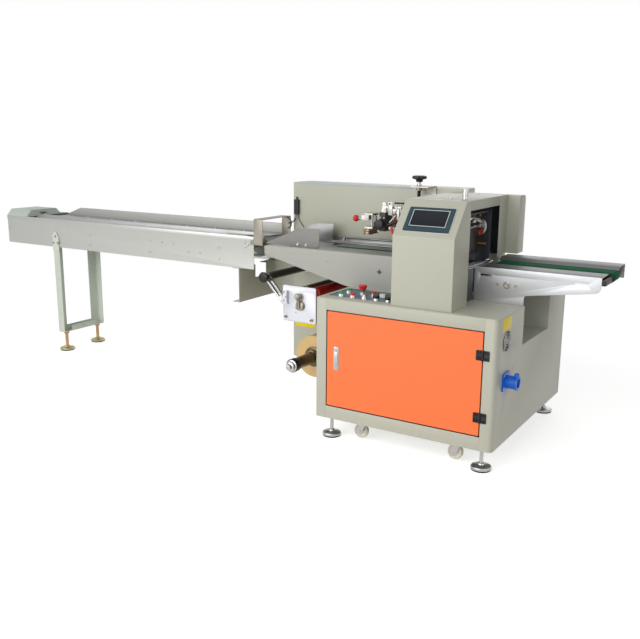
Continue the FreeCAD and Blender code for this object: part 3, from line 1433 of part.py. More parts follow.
def sprocket_shafts():
    """Sprocket and shaft at each end of the chain, carried by the side plates."""
    x0, x1, z = chain_levels()
    y0, y1 = infeed_front_y + infeed_sheet, infeed_rear_y - infeed_sheet
    solids = []
    for x in (x0, x1):
        shaft = rod(12, Vector(x, y0, z), Vector(x, y1, z))
        sprocket = rod(chain_sprocket_r - chain_height / 2 - seat_gap, Vector(x, infeed_slot_y - 6, z),
                       Vector(x, infeed_slot_y + 6, z))
        hubs = [rod(24, Vector(x, a, z), Vector(x, b, z)) for a, b in ((y0, y0 + 18), (y1 - 18, y1))]
        solids.append(fused(shaft, sprocket, *hubs))
    return solids


def make_infeed_guides():
    """Low front guide and tall rear guide with its flared lead-in."""
    t = guide_sheet
    x0, x1 = guide_left, infeed_right - 20
    z = infeed_deck_z
    front = fused(block(x0, x1, guide_front_y, guide_front_y + t, z, guide_front_top),
                  block(x0, x1, guide_front_y - 26, guide_front_y, z, z + t))
    lead = guide_lead_in
    face = plate_xz([(x0, z), (x1 + 40, z), (x1 + 40, guide_rear_top), (x0 + lead, guide_rear_top),
                     (x0, z + 6)], guide_rear_y, guide_rear_y + t)
    top = block(x0 + lead, x1 + 40, guide_rear_y, infeed_rear_y - infeed_sheet,
                guide_rear_top - t, guide_rear_top)
    publish("infeed_guides", front, fused(face, top))


def cover_roof(inset):
    """Truncated-pyramid roof of the end cover, drawn in by inset on every side."""
    x0, x1 = infeed_left + inset, infeed_left + cover_length - inset
    y0, y1 = infeed_front_y + inset, infeed_rear_y - inset
    d = cover_slope_front
    z_low, z_high = cover_band_z, cover_top_z - inset

    def ring(left, right, front, rear, z):
        corners = [Vector(left, front, z), Vector(right, front, z), Vector(right, rear, z),
                   Vector(left, rear, z)]
        return Part.makePolygon(corners + [corners[0]])

    return Part.makeLoft([ring(x0, x1, y0, y1, z_low),
                          ring(x0 + 6, x1 - cover_slope_end, y0 + d, y1 - d, z_high)], True, True)


def make_end_cover():
    """Sheet cover over the chain's tail end, with a window that the pusher lugs pass."""
    x0, x1 = infeed_left, infeed_left + cover_length
    y0, y1 = infeed_front_y, infeed_rear_y
    z0, z1, t = infeed_top, cover_band_z, cover_sheet
    outer = fused(block(x0, x1, y0, y1, z0, z1), cover_roof(0))
    inner = fused(block(x0 + t, x1 - t, y0 + t, y1 - t, z0 - 1, z1), cover_roof(t))
    half = cover_window_width / 2
    window = block(x1 - 60, x1 + 5, infeed_slot_y - half, infeed_slot_y + half,
                   z0 - 1, z0 + cover_window_height)
    tail = block(x0, x0 + t, y0 + infeed_sheet, y1 - infeed_sheet, cover_tail_bottom, z0 + 1)
    publish("infeed_end_cover", fused(outer.cut(inner), tail).cut(window))


def make_stand():
    """Two channel legs under the infeed with pointed bolting tabs, and a low crossbar."""
    w, d, t = stand_leg_width, stand_leg_depth, stand_leg_sheet
    x0 = stand_x - w / 2
    z0, z1 = stand_leg_bottom, infeed_bottom
    front_y, rear_y = infeed_front_y, infeed_rear_y
    solids = []
    for outer, sign in ((front_y, 1), (rear_y, -1)):
        inner = outer + sign * d
        a, b = sorted((outer, inner))
        leg = block(x0, x0 + w, a, b, z0, z1)
        ha, hb = sorted((outer + sign * t, inner + sign))
        hollow = block(x0 + t, x0 + w + 1, ha, hb, z0 + t, z1 + 1)
        ta, tb = sorted((outer, outer - sign * t))
        half = stand_tab_width / 2
        tab = plate_xz([(stand_x - half, z1 - 26), (stand_x + half, z1 - 26),
                        (stand_x + half, stand_tab_top - 34), (stand_x, stand_tab_top),
                        (stand_x - half, stand_tab_top - 34)], ta, tb,
                       [0, 0, 14, 10, 14])
        solids += [leg.cut(hollow), tab]
    bar_y0, bar_y1 = front_y + d, rear_y - d
    bar = block(x0, x0 + w, bar_y0, bar_y1, z0, z0 + 34)
    groove = block(x0 + t, x0 + w - t, bar_y0 - 1, bar_y1 + 1, z0 + t, z0 + 35)
    middle_y = (bar_y0 + bar_y1) / 2
    hole = rod(5, Vector(x0 - 1, middle_y, z0 + 18), Vector(x0 + w + 1, middle_y, z0 + 18))
    solids.append(bar.cut(groove).cut(hole))
    publish("infeed_stand", fused(*solids))


def make_support_channel():
    """Channel under the infeed's end, with a notched web, tied to the rear housing."""
    s, x = channel_sheet, channel_web_x
    y0, y1 = channel_front_y, panel_plane_y + housing_depth
    z0, z1 = channel_bottom, infeed_bottom
    outline = [(y0, z0), (y1, z0), (y1, z1), (channel_notch_rear_y, z1),
               (channel_notch_rear_y, channel_notch_z),
               (channel_notch_front_y, channel_notch_z), (channel_notch_front_y, z1), (y0, z1)]
    web = plate_yz(outline, x - s, x)
    flanges = [block(x - channel_flange, x - s, a, b, c, d)
               for a, b, c, d in ((y0, y1, z0, z0 + s), (y0, channel_notch_front_y, z1 - s, z1),
                                  (channel_notch_rear_y, y1, z1 - s, z1))]
    tie = block(x, housing_left, channel_cross_y, channel_cross_y + s, z0, z1)
    publish("support_channel", fused(web, tie, *flanges))


def make_gantry():
    """Bent strip over the film's path that carries the mark sensor."""
    x0, x1, t = gantry_left, gantry_left + gantry_width, gantry_sheet
    y0, y1 = gantry_front_y, gantry_rear_y
    z0, z1 = gantry_foot_z, gantry_top
    outer = plate_yz(rectangle(y0, y1, z0, z1), x0, x1, [0, 0, 6, 6])
    inner = plate_yz(rectangle(y0 + t, y1 - t, z0 - 1, z1 - t), x0, x1, [0, 0, 3, 3])
    tab_top = infeed_top - infeed_hem_height - 1
    front_tab = block(x0 - gantry_tab, x0, y0, y0 + t, z0, tab_top)
    rear_tab = block(x1, housing_left + gantry_tab, y1 - t, y1, z0, z0 + 2 * gantry_tab)
    publish("sensor_gantry", fused(outer.cut(inner), front_tab, rear_tab))


def make_amplifier():
    """Slim sensor amplifier on the rear panel."""
    x, w, d = amplifier_x, amplifier_width / 2, amplifier_depth
    y = panel_plane_y
    body = plate_xz(rectangle(x - w, x + w, amplifier_bottom, amplifier_top), y - d, y, [3] * 4)
    gland = rod(4, Vector(x, y - d / 2, amplifier_top), Vector(x, y - d / 2, amplifier_top + 14))
    publish("sensor_amplifier", fused(body, gland))


# ======================================================================================
# build
# ======================================================================================

os.makedirs("parts", exist_ok=True)

make_cabinet_floor()
make_cabinet_front()
make_cabinet_walls()
make_cabinet_deck()
make_door()
make_feet()
for number, (caster_x, caster_y) in enumerate(caster_places(), 1):
    make_caster(number, caster_x, caster_y)
make_fan_guard()
make_power_inlet()
make_control_panel()
make_emergency_stop()
make_rear_housing()
make_operator_box()
make_touch_screen()
make_sealer_hood()
make_sealer_unit()
make_slide_comb()
make_table()
make_film_formers()
make_belts()
make_fin_seal_unit()
make_ball_lever()
make_height_adjuster()
make_fin_knob()
make_film_reel()
make_roller_bracket()
make_rollers()
make_swing_arm()
make_nip_lever()
make_outfeed()
make_infeed_sides()
make_infeed_deck()
make_infeed_chain()
make_infeed_guides()
make_end_cover()
make_stand()
make_support_channel()
make_gantry()
make_amplifier()
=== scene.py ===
"""Finishes, small fittings, studio and camera for a horizontal flow wrapper.

Every length in the dataclass fields is in millimetres, in the machine's own datum: x is 0 at the
outfeed side of the base cabinet, y is 0 at the cabinet's front face, z is 0 on the floor.
"""

import json
import logging
import math
from dataclasses import dataclass
from enum import IntEnum
from typing import Callable, Iterable, Optional, Sequence, Union

import bmesh
import bpy
from mathutils import Matrix, Vector


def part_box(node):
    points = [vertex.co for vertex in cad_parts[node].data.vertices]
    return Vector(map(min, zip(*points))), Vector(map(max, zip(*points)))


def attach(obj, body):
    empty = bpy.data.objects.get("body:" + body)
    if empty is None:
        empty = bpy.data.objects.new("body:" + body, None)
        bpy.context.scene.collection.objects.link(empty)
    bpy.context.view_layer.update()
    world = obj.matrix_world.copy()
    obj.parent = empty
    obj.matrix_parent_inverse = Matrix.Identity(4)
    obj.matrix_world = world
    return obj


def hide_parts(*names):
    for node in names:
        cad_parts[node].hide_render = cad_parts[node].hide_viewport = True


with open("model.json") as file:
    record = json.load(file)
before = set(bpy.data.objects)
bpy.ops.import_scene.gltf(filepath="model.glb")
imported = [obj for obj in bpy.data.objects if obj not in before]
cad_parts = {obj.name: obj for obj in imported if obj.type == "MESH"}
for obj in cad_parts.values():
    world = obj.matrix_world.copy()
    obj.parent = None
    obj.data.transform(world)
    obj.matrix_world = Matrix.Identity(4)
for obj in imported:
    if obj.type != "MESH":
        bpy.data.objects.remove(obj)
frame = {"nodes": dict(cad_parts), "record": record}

LOG = logging.getLogger("flow_wrapper")
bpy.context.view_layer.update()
MM = 0.001
Colour = tuple[float, float, float]
Place = tuple[float, float, float]
Pair = tuple[float, float]
Quad = tuple[float, float, float, float]
OPEN: Pair = (-1e6, 1e6)
BACKGROUND_RAYS = ("Is Camera Ray", "Is Glossy Ray", "Is Transmission Ray")


class Axis(IntEnum):
    """Axes of the machine: along the product's path, to the rear, and up."""

    X = 0
    Y = 1
    Z = 2


# --------------------------------------------------------------------------------------
# places
# --------------------------------------------------------------------------------------

DATUM = Vector((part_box("cabinet_front_posts")[1].x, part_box("cabinet_front_posts")[0].y, 0.0))


def at(x: float, y: float, z: float) -> Vector:
    """Place in metres of a point given in the machine's datum.

    Args:
        x: Distance along the product's path, in millimetres.
        y: Distance behind the cabinet's front face, in millimetres.
        z: Height above the floor, in millimetres.

    Returns:
        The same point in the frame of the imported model.
    """
    return DATUM + Vector((x, y, z)) * MM


def body_of(node: str) -> str:
    """Name of the body that a CAD node rides on.

    Args:
        node: Name of the CAD node.

    Returns:
        The body's name in the record.
    """
    for body, members in frame["record"]["behaviour"]["bodies"].items():
        if node in members:
            return body
    raise KeyError(node)


# --------------------------------------------------------------------------------------
# shader building
# --------------------------------------------------------------------------------------

class Scalar:
    """A value socket whose arithmetic adds Math nodes to its material."""

    def __init__(self, shade: "Shade", socket: bpy.types.NodeSocket) -> None:
        """Wraps an output socket.

        Args:
            shade: The material under construction.
            socket: The output that carries the value.
        """
        self.shade = shade
        self.socket = socket

    def _math(self, operation: str, first: object, second: object) -> "Scalar":
        """Adds one Math node.

        Args:
            operation: Name of the Math operation.
            first: A Scalar or a number for the first input.
            second: A Scalar or a number for the second input.

        Returns:
            The node's result.
        """
        made = self.shade.add("ShaderNodeMath", {"operation": operation}, {0: first, 1: second})
        return Scalar(self.shade, made.outputs[0])

    def __add__(self, other: object) -> "Scalar":
        """Sum with a number or another value."""
        return self._math("ADD", self, other)

    def __radd__(self, other: object) -> "Scalar":
        """Sum with a number on the left."""
        return self._math("ADD", other, self)

    def __sub__(self, other: object) -> "Scalar":
        """Difference from a number or another value."""
        return self._math("SUBTRACT", self, other)

    def __rsub__(self, other: object) -> "Scalar":
        """Number on the left less this value."""
        return self._math("SUBTRACT", other, self)

    def __mul__(self, other: object) -> "Scalar":
        """Product with a number or another value."""
        return self._math("MULTIPLY", self, other)

    def __rmul__(self, other: object) -> "Scalar":
        """Product with a number on the left."""
        return self._math("MULTIPLY", other, self)

    def root(self) -> "Scalar":
        """Square root of this value."""
        return self._math("SQRT", self, 0.0)

    def wave(self, period: float) -> "Scalar":
        """Sine of this value with the given period, from 0 to 1."""
        return self._math("SINE", self * (2 * math.pi / period), 0.0) * 0.5 + 0.5

    def step(self, low: float, high: float) -> "Scalar":
        """Smooth mask that is 0 below low and 1 above high.

        Args:
            low: Value where the mask starts to rise.
            high: Value where the mask is full.

        Returns:
            The mask.
        """
        made = self.shade.add("ShaderNodeMapRange", {"interpolation_type": "SMOOTHSTEP"},
                              {"Value": self, "From Min": low, "From Max": high})
        return Scalar(self.shade, made.outputs["Result"])


class Shade:
    """One procedural material under construction."""

    def __init__(self, name: str) -> None:
        """Starts an empty node material with a Principled shader.

        Args:
            name: Plain name of the finish.
        """
        self.material = bpy.data.materials.new(name)
        self.material.use_nodes = True
        self.tree = self.material.node_tree
        self.surface = self.tree.nodes["Principled BSDF"]
        self._place: Optional[bpy.types.NodeSocket] = None

    def add(self, kind: str, settings: dict, sockets: dict) -> bpy.types.Node:
        """Adds a node of any type.

        Args:
            kind: Blender's identifier of the node type.
            settings: Attributes to set before the sockets; "stops" sets a ramp's colours.
            sockets: Values or links by input name or index.

        Returns:
            The new node.
        """
        made = self.tree.nodes.new(kind)
        for name, value in settings.items():
            if name == "stops":
                ramp = made.color_ramp
                while len(ramp.elements) < len(value):
                    ramp.elements.new(1.0)
                for element, (place, colour) in zip(ramp.elements, value):
                    element.position = place
                    element.color = (*colour, 1.0)
            else:
                setattr(made, name, value)
        for name, value in sockets.items():
            self.feed(made.inputs[name], value)
        return made

    def feed(self, socket: bpy.types.NodeSocket, value: object) -> None:
        """Links a value or socket to an input, or sets its default.

        Args:
            socket: The input.
            value: A Scalar, an output socket, a colour or a number.
        """
        if isinstance(value, Scalar):
            self.tree.links.new(value.socket, socket)
        elif isinstance(value, bpy.types.NodeSocket):
            self.tree.links.new(value, socket)
        elif isinstance(value, (tuple, list)) and socket.type == "RGBA" and len(value) == 3:
            socket.default_value = (*value, 1.0)
        else:
            socket.default_value = value

    def place(self, stretch: Colour = (1.0, 1.0, 1.0)) -> bpy.types.NodeSocket:
        """Position on the object in metres, stretched along its axes.

        Args:
            stretch: Scale of each axis.

        Returns:
            The socket that carries the position.
        """
        if self._place is None:
            self._place = self.add("ShaderNodeTexCoord", {}, {}).outputs["Object"]
        made = self.add("ShaderNodeVectorMath", {"operation": "MULTIPLY"},
                        {0: self._place, 1: stretch})
        return made.outputs[0]

    def noise(self, scale: float, detail: float = 3.0, stretch: Colour = (1.0, 1.0, 1.0),
              rough: float = 0.5) -> Scalar:
        """Cloudy value from 0 to 1 that varies over the surface.

        Args:
            scale: Blotches per metre.
            detail: Octaves of finer noise.
            stretch: Scale of each axis, to draw the pattern out along one of them.
            rough: Weight of the finer octaves.

        Returns:
            The noise value.
        """
        made = self.add("ShaderNodeTexNoise", {},
                        {"Vector": self.place(stretch), "Scale": scale, "Detail": detail,
                         "Roughness": rough})
        return Scalar(self, made.outputs["Fac"])

    def axis(self, axis: Axis) -> Scalar:
        """One coordinate of the position on the object, in metres."""
        made = self.add("ShaderNodeSeparateXYZ", {}, {0: self.place()})
        return Scalar(self, made.outputs[int(axis)])

    def mix(self, mask: Union[Scalar, float], low: object, high: object) -> bpy.types.NodeSocket:
        """Colour that goes from low to high as the mask goes from 0 to 1."""
        made = self.add("ShaderNodeMix", {"data_type": "RGBA"}, {0: mask, 6: low, 7: high})
        return made.outputs[2]

    def bump(self, height: Scalar, distance: float, strength: float = 1.0) -> None:
        """Feeds the Normal input from a height value.

        Args:
            height: Height from 0 to 1.
            distance: Real height of the relief, in metres.
            strength: Share of the relief that shows.
        """
        made = self.add("ShaderNodeBump", {},
                        {"Height": height, "Distance": distance, "Strength": strength})
        self.feed(self.surface.inputs["Normal"], made.outputs["Normal"])

    def dress(self, **sockets: object) -> bpy.types.Material:
        """Feeds the Principled shader; underscores in names stand for spaces.

        Args:
            **sockets: Value or link of each named input.

        Returns:
            The finished material.
        """
        for name, value in sockets.items():
            self.feed(self.surface.inputs[name.replace("_", " ")], value)
        return self.material


def darker(colour: Colour, share: float) -> Colour:
    """A colour scaled down, or up where the share is over 1."""
    return tuple(channel * share for channel in colour)


class Finish:
    """A finish that builds its material once."""

    name: str
    _made: dict[str, bpy.types.Material] = {}

    def material(self) -> bpy.types.Material:
        """The finish's material, built at its first use.

        Returns:
            The material, shared by every piece with this finish.
        """
        if self.name not in Finish._made:
            Finish._made[self.name] = self.build(Shade(self.name))
        return Finish._made[self.name]

    def build(self, shade: Shade) -> bpy.types.Material:
        """Builds the node tree; each finish gives its own.

        Args:
            shade: The empty material.

        Returns:
            The finished material.
        """
        raise NotImplementedError


@dataclass(frozen=True)
class PowderCoat(Finish):
    """Baked powder paint with orange peel, faint handling marks and dulled patches."""

    name: str
    colour: Colour
    roughness: float = 0.38
    grime: float = 0.06

    def build(self, shade: Shade) -> bpy.types.Material:
        """Builds the paint.

        Args:
            shade: The empty material.

        Returns:
            The painted material.
        """
        clouds = shade.noise(3.5, 4.0)
        handled = shade.noise(14.0, 5.0, rough=0.65).step(0.55, 0.80)
        tone = shade.mix(clouds, darker(self.colour, 0.97), darker(self.colour, 1.03))
        tone = shade.mix(handled * self.grime, tone, darker(self.colour, 0.55))
        peel = shade.noise(420.0, 2.0)
        shade.bump(peel, 0.00012, 0.35)
        rough = clouds * 0.05 + handled * 0.07 + self.roughness
        return shade.dress(Base_Color=tone, Roughness=rough, Specular_IOR_Level=0.45)


@dataclass(frozen=True)
class BrushedSheet(Finish):
    """Stainless sheet with its grain along one axis, and faint smears."""

    name: str
    colour: Colour = (0.62, 0.62, 0.60)
    roughness: float = 0.34
    grain: Colour = (0.02, 1.0, 1.0)
    smears: float = 0.10
    metal: float = 1.0

    def build(self, shade: Shade) -> bpy.types.Material:
        """Builds the brushed metal.

        Args:
            shade: The empty material.

        Returns:
            The metal material.
        """
        grain = shade.noise(900.0, 3.0, self.grain, 0.7)
        broad = shade.noise(60.0, 3.0, self.grain, 0.6)
        smear = shade.noise(9.0, 4.0, rough=0.6).step(0.5, 0.8)
        tone = shade.mix(grain, darker(self.colour, 0.93), darker(self.colour, 1.05))
        tone = shade.mix(smear * self.smears, tone, darker(self.colour, 0.7))
        rough = grain * 0.08 + broad * 0.06 + smear * 0.08 + (self.roughness - 0.06)
        shade.bump(grain, 0.00004, 0.25)
        return shade.dress(Base_Color=tone, Metallic=self.metal, Roughness=rough,
                           Specular_IOR_Level=0.3)


@dataclass(frozen=True)
class TurnedMetal(Finish):
    """Machined or plated metal with fine tool marks and light wear."""

    name: str
    colour: Colour = (0.56, 0.55, 0.53)
    roughness: float = 0.24
    tarnish: float = 0.12

    def build(self, shade: Shade) -> bpy.types.Material:
        """Builds the machined metal.

        Args:
            shade: The empty material.

        Returns:
            The metal material.
        """
        marks = shade.noise(700.0, 2.0, (1.0, 0.25, 1.0))
        stain = shade.noise(40.0, 4.0, rough=0.6).step(0.48, 0.75)
        tone = shade.mix(stain * self.tarnish, self.colour, darker(self.colour, 0.5))
        rough = marks * 0.08 + stain * 0.12 + self.roughness
        shade.bump(marks, 0.00003, 0.2)
        return shade.dress(Base_Color=tone, Metallic=1.0, Roughness=rough)


@dataclass(frozen=True)
class Moulding(Finish):
    """Moulded plastic with a fine spark-eroded grain and dusty high spots."""

    name: str
    colour: Colour
    roughness: float = 0.42
    grain: float = 0.25
    dust: float = 0.05

    def build(self, shade: Shade) -> bpy.types.Material:
        """Builds the plastic.

        Args:
            shade: The empty material.

        Returns:
            The plastic material.
        """
        leather = shade.noise(1400.0, 2.0)
        dusty = shade.noise(55.0, 4.0, rough=0.6).step(0.5, 0.8)
        tone = shade.mix(dusty * self.dust, self.colour, (0.45, 0.44, 0.40))
        shade.bump(leather, 0.00006, self.grain)
        return shade.dress(Base_Color=tone, Roughness=dusty * 0.12 + self.roughness,
                           Specular_IOR_Level=0.3)


@dataclass(frozen=True)
class ConveyorBelting(Finish):
    """Woven-backed PVC belting with a fine diamond face, polished by use along its middle."""

    name: str
    colour: Colour = (0.004, 0.105, 0.045)
    pitch: float = 0.0022

    def build(self, shade: Shade) -> bpy.types.Material:
        """Builds the belting.

        Args:
            shade: The empty material.

        Returns:
            The belt material.
        """
        along, across = shade.axis(Axis.X), shade.axis(Axis.Y)
        diamonds = (along + across).wave(self.pitch) * (along - across).wave(self.pitch)
        scuffs = shade.noise(30.0, 5.0, (0.15, 1.0, 1.0), 0.65).step(0.45, 0.8)
        tone = shade.mix(diamonds, darker(self.colour, 0.85), darker(self.colour, 1.15))
        tone = shade.mix(scuffs * 0.18, tone, (0.10, 0.20, 0.14))
        shade.bump(diamonds, 0.0002, 0.5)
        return shade.dress(Base_Color=tone, Roughness=scuffs * 0.15 + 0.6, Specular_IOR_Level=0.03)


@dataclass(frozen=True)
class SoftRubber(Finish):
    """Roller or tread rubber, matte, with chalky scuffs."""

    name: str
    colour: Colour
    roughness: float = 0.5
    scuff: float = 0.15

    def build(self, shade: Shade) -> bpy.types.Material:
        """Builds the rubber.

        Args:
            shade: The empty material.

        Returns:
            The rubber material.
        """
        scuffs = shade.noise(60.0, 5.0, rough=0.65).step(0.48, 0.8)
        fine = shade.noise(900.0, 2.0)
        tone = shade.mix(scuffs * self.scuff, self.colour, darker(self.colour, 1.9))
        shade.bump(fine, 0.00005, 0.3)
        return shade.dress(Base_Color=tone, Roughness=scuffs * 0.15 + self.roughness,
                           Specular_IOR_Level=0.25)


@dataclass(frozen=True)
class WoundFilm(Finish):
    """Wrapping film wound on its core: glossy outside, with fine layer lines on the ends."""

    name: str
    centre_x: float
    centre_z: float
    colour: Colour = (0.66, 0.44, 0.17)

    def build(self, shade: Shade) -> bpy.types.Material:
        """Builds the film.

        Args:
            shade: The empty material.

        Returns:
            The film material.
        """
        across = shade.axis(Axis.X) - self.centre_x
        up = shade.axis(Axis.Z) - self.centre_z
        radius = (across * across + up * up).root()
        layers = radius.wave(0.0021) * 0.6 + radius.wave(0.0067) * 0.4
        bands = shade.noise(45.0, 3.0, (1.0, 0.4, 1.0))
        tone = shade.mix(layers, darker(self.colour, 0.86), darker(self.colour, 1.08))
        tone = shade.mix(bands, tone, darker(self.colour, 1.1))
        shade.bump(layers, 0.00008, 0.4)
        return shade.dress(Base_Color=tone, Roughness=bands * 0.12 + 0.24, Coat_Weight=0.35)


@dataclass(frozen=True)
class DarkGlass(Finish):
    """Display cover: near-black glass with finger marks, lighter towards the top as a painted
    reflection.
    """

    name: str
    colour: Colour = (0.018, 0.022, 0.028)
    # fade: colour of the painted reflection at the top of the glass.
    fade: Colour = (0.030, 0.034, 0.042)
    low: float = 0.9
    high: float = 1.1

    def build(self, shade: Shade) -> bpy.types.Material:
        """Builds the display glass.

        Args:
            shade: The empty material.

        Returns:
            The glass material.
        """
        # Painted reflection: the glass turns lighter between the heights low and high.
        rise = shade.axis(Axis.Z).step(self.low, self.high)
        marks = shade.noise(90.0, 4.0, rough=0.6).step(0.5, 0.8)
        tone = shade.mix(rise, self.colour, self.fade)
        return shade.dress(Base_Color=tone, Roughness=marks * 0.12 + 0.16, Specular_IOR_Level=0.06)


@dataclass(frozen=True)
class PerforatedSheet(Finish):
    """Dark sheet with staggered round holes that show as darker dots."""

    name: str
    colour: Colour = (0.20, 0.21, 0.23)
    pitch: float = 0.009

    def build(self, shade: Shade) -> bpy.types.Material:
        """Builds the perforated sheet.

        Args:
            shade: The empty material.

        Returns:
            The sheet's material.
        """
        along, up = shade.axis(Axis.Y), shade.axis(Axis.Z)
        rows = (along + up).wave(self.pitch) * (along - up).wave(self.pitch)
        holes = rows.step(0.30, 0.42)
        tone = shade.mix(holes, self.colour, (0.006, 0.006, 0.007))
        return shade.dress(Base_Color=tone, Metallic=1.0 - holes, Roughness=holes * 0.4 + 0.35)


class Finishes:
    """The machine's finishes by name."""

    cabinet = PowderCoat("cabinet_paint", (0.490, 0.490, 0.402))
    door = PowderCoat("door_paint", (1.0, 0.190, 0.048), 0.34, 0.03)
    stand = PowderCoat("stand_paint", (0.600, 0.645, 0.550))
    cover = PowderCoat("cover_paint", (0.480, 0.545, 0.490))
    panel = PowderCoat("control_panel_paint", (0.085, 0.150, 0.215), 0.30)
    # inside: near-black painted shade on the hood's inward faces.
    inside = PowderCoat("hood_inside_painted_shade", (0.016, 0.018, 0.024), 0.5)
    lining = PowderCoat("bearing_plate_paint", (0.030, 0.033, 0.042), 0.45)
    table = PowderCoat("table_plate_satin", (0.425, 0.425, 0.385), 0.48)
    sheet = BrushedSheet("stainless_sheet", (0.455, 0.460, 0.430), 0.38)
    bright = BrushedSheet("bright_stainless", (0.60, 0.61, 0.63), 0.38, metal=0.6)
    deck = BrushedSheet("stainless_deck", (0.370, 0.380, 0.375), 0.40, metal=0.7)
    dull = BrushedSheet("dull_stainless", (0.250, 0.242, 0.226), 0.58, metal=0.3)
    rail = BrushedSheet("white_rail", (0.42, 0.42, 0.40), 0.50, metal=0.4)
    # guard: the rear guard's own finish, also used as painted shade on the outfeed plate's top
    # flange.
    guard = BrushedSheet("guard_stainless", (0.185, 0.185, 0.188), 0.48)
    across = BrushedSheet("stainless_across", (0.270, 0.250, 0.210), 0.42, (1.0, 0.02, 1.0))
    pale = BrushedSheet("anodised_plate", (0.520, 0.525, 0.560), 0.48, (1.0, 1.0, 0.05), 0.04)
    polished = TurnedMetal("polished_steel", (0.46, 0.46, 0.46), 0.14, 0.12)
    lever = TurnedMetal("lever_steel", (0.34, 0.30, 0.245), 0.28, 0.15)
    aluminium = TurnedMetal("cast_aluminium", (0.40, 0.375, 0.330), 0.40, 0.05)
    drawn = TurnedMetal("drawn_bar", (0.20, 0.20, 0.195), 0.30, 0.1)
    machined = TurnedMetal("machined_steel", (0.36, 0.35, 0.33))
    plated = TurnedMetal("bright_zinc", (0.40, 0.40, 0.40), 0.24, 0.12)
    yellow_zinc = TurnedMetal("yellow_zinc", (0.40, 0.35, 0.18), 0.30, 0.25)
    copper = TurnedMetal("coppered_stem", (0.40, 0.24, 0.13), 0.30, 0.2)
    bronze = TurnedMetal("oiled_bronze", (0.115, 0.088, 0.052), 0.26, 0.30)
    brass = TurnedMetal("seal_wheel_bronze", (0.30, 0.235, 0.150), 0.24, 0.25)
    dark_steel = TurnedMetal("blackened_steel", (0.040, 0.036, 0.032), 0.36, 0.10)
    black = Moulding("black_plastic", (0.014, 0.014, 0.015))
    knob = Moulding("black_phenolic", (0.010, 0.010, 0.011), 0.26, 0.1)
    red = Moulding("red_plastic", (0.70, 0.022, 0.012), 0.26, 0.1)
    green = Moulding("green_plastic", (0.01, 0.30, 0.10), 0.28, 0.1)
    white = Moulding("white_plastic", (0.70, 0.70, 0.68), 0.32, 0.1)
    blue = Moulding("blue_plastic", (0.006, 0.130, 0.66), 0.28, 0.15, 0.02)
    bezel = Moulding("bezel_plastic", (0.022, 0.052, 0.066), 0.40)
    nylon = Moulding("cream_nylon", (0.74, 0.69, 0.52), 0.30, 0.1)
    orange = Moulding("orange_insulation", (0.85, 0.10, 0.01), 0.35, 0.1)
    amber = Moulding("amber_plate", (0.62, 0.30, 0.02), 0.35, 0.1)
    yellow = Moulding("yellow_plate", (0.85, 0.66, 0.01), 0.38, 0.1)
    pale_blue = Moulding("pale_blue_plate", (0.40, 0.50, 0.56), 0.38, 0.1)
    sole = SoftRubber("sole_rubber", (0.018, 0.018, 0.018), 0.6)
    red_rubber = SoftRubber("draw_roller_rubber", (0.30, 0.005, 0.003), 0.34, 0.1)
    dark_rubber = SoftRubber("nip_roller_rubber", (0.040, 0.032, 0.028), 0.40, 0.1)
    belting = ConveyorBelting("green_belting", (0.004, 0.100, 0.042))
    # low and high: heights in metres over which the glass's painted reflection rises.
    glass = DarkGlass("display_glass", low=0.96, high=1.06)
    mesh = PerforatedSheet("perforated_guard")


# --------------------------------------------------------------------------------------
# mesh building
# --------------------------------------------------------------------------------------

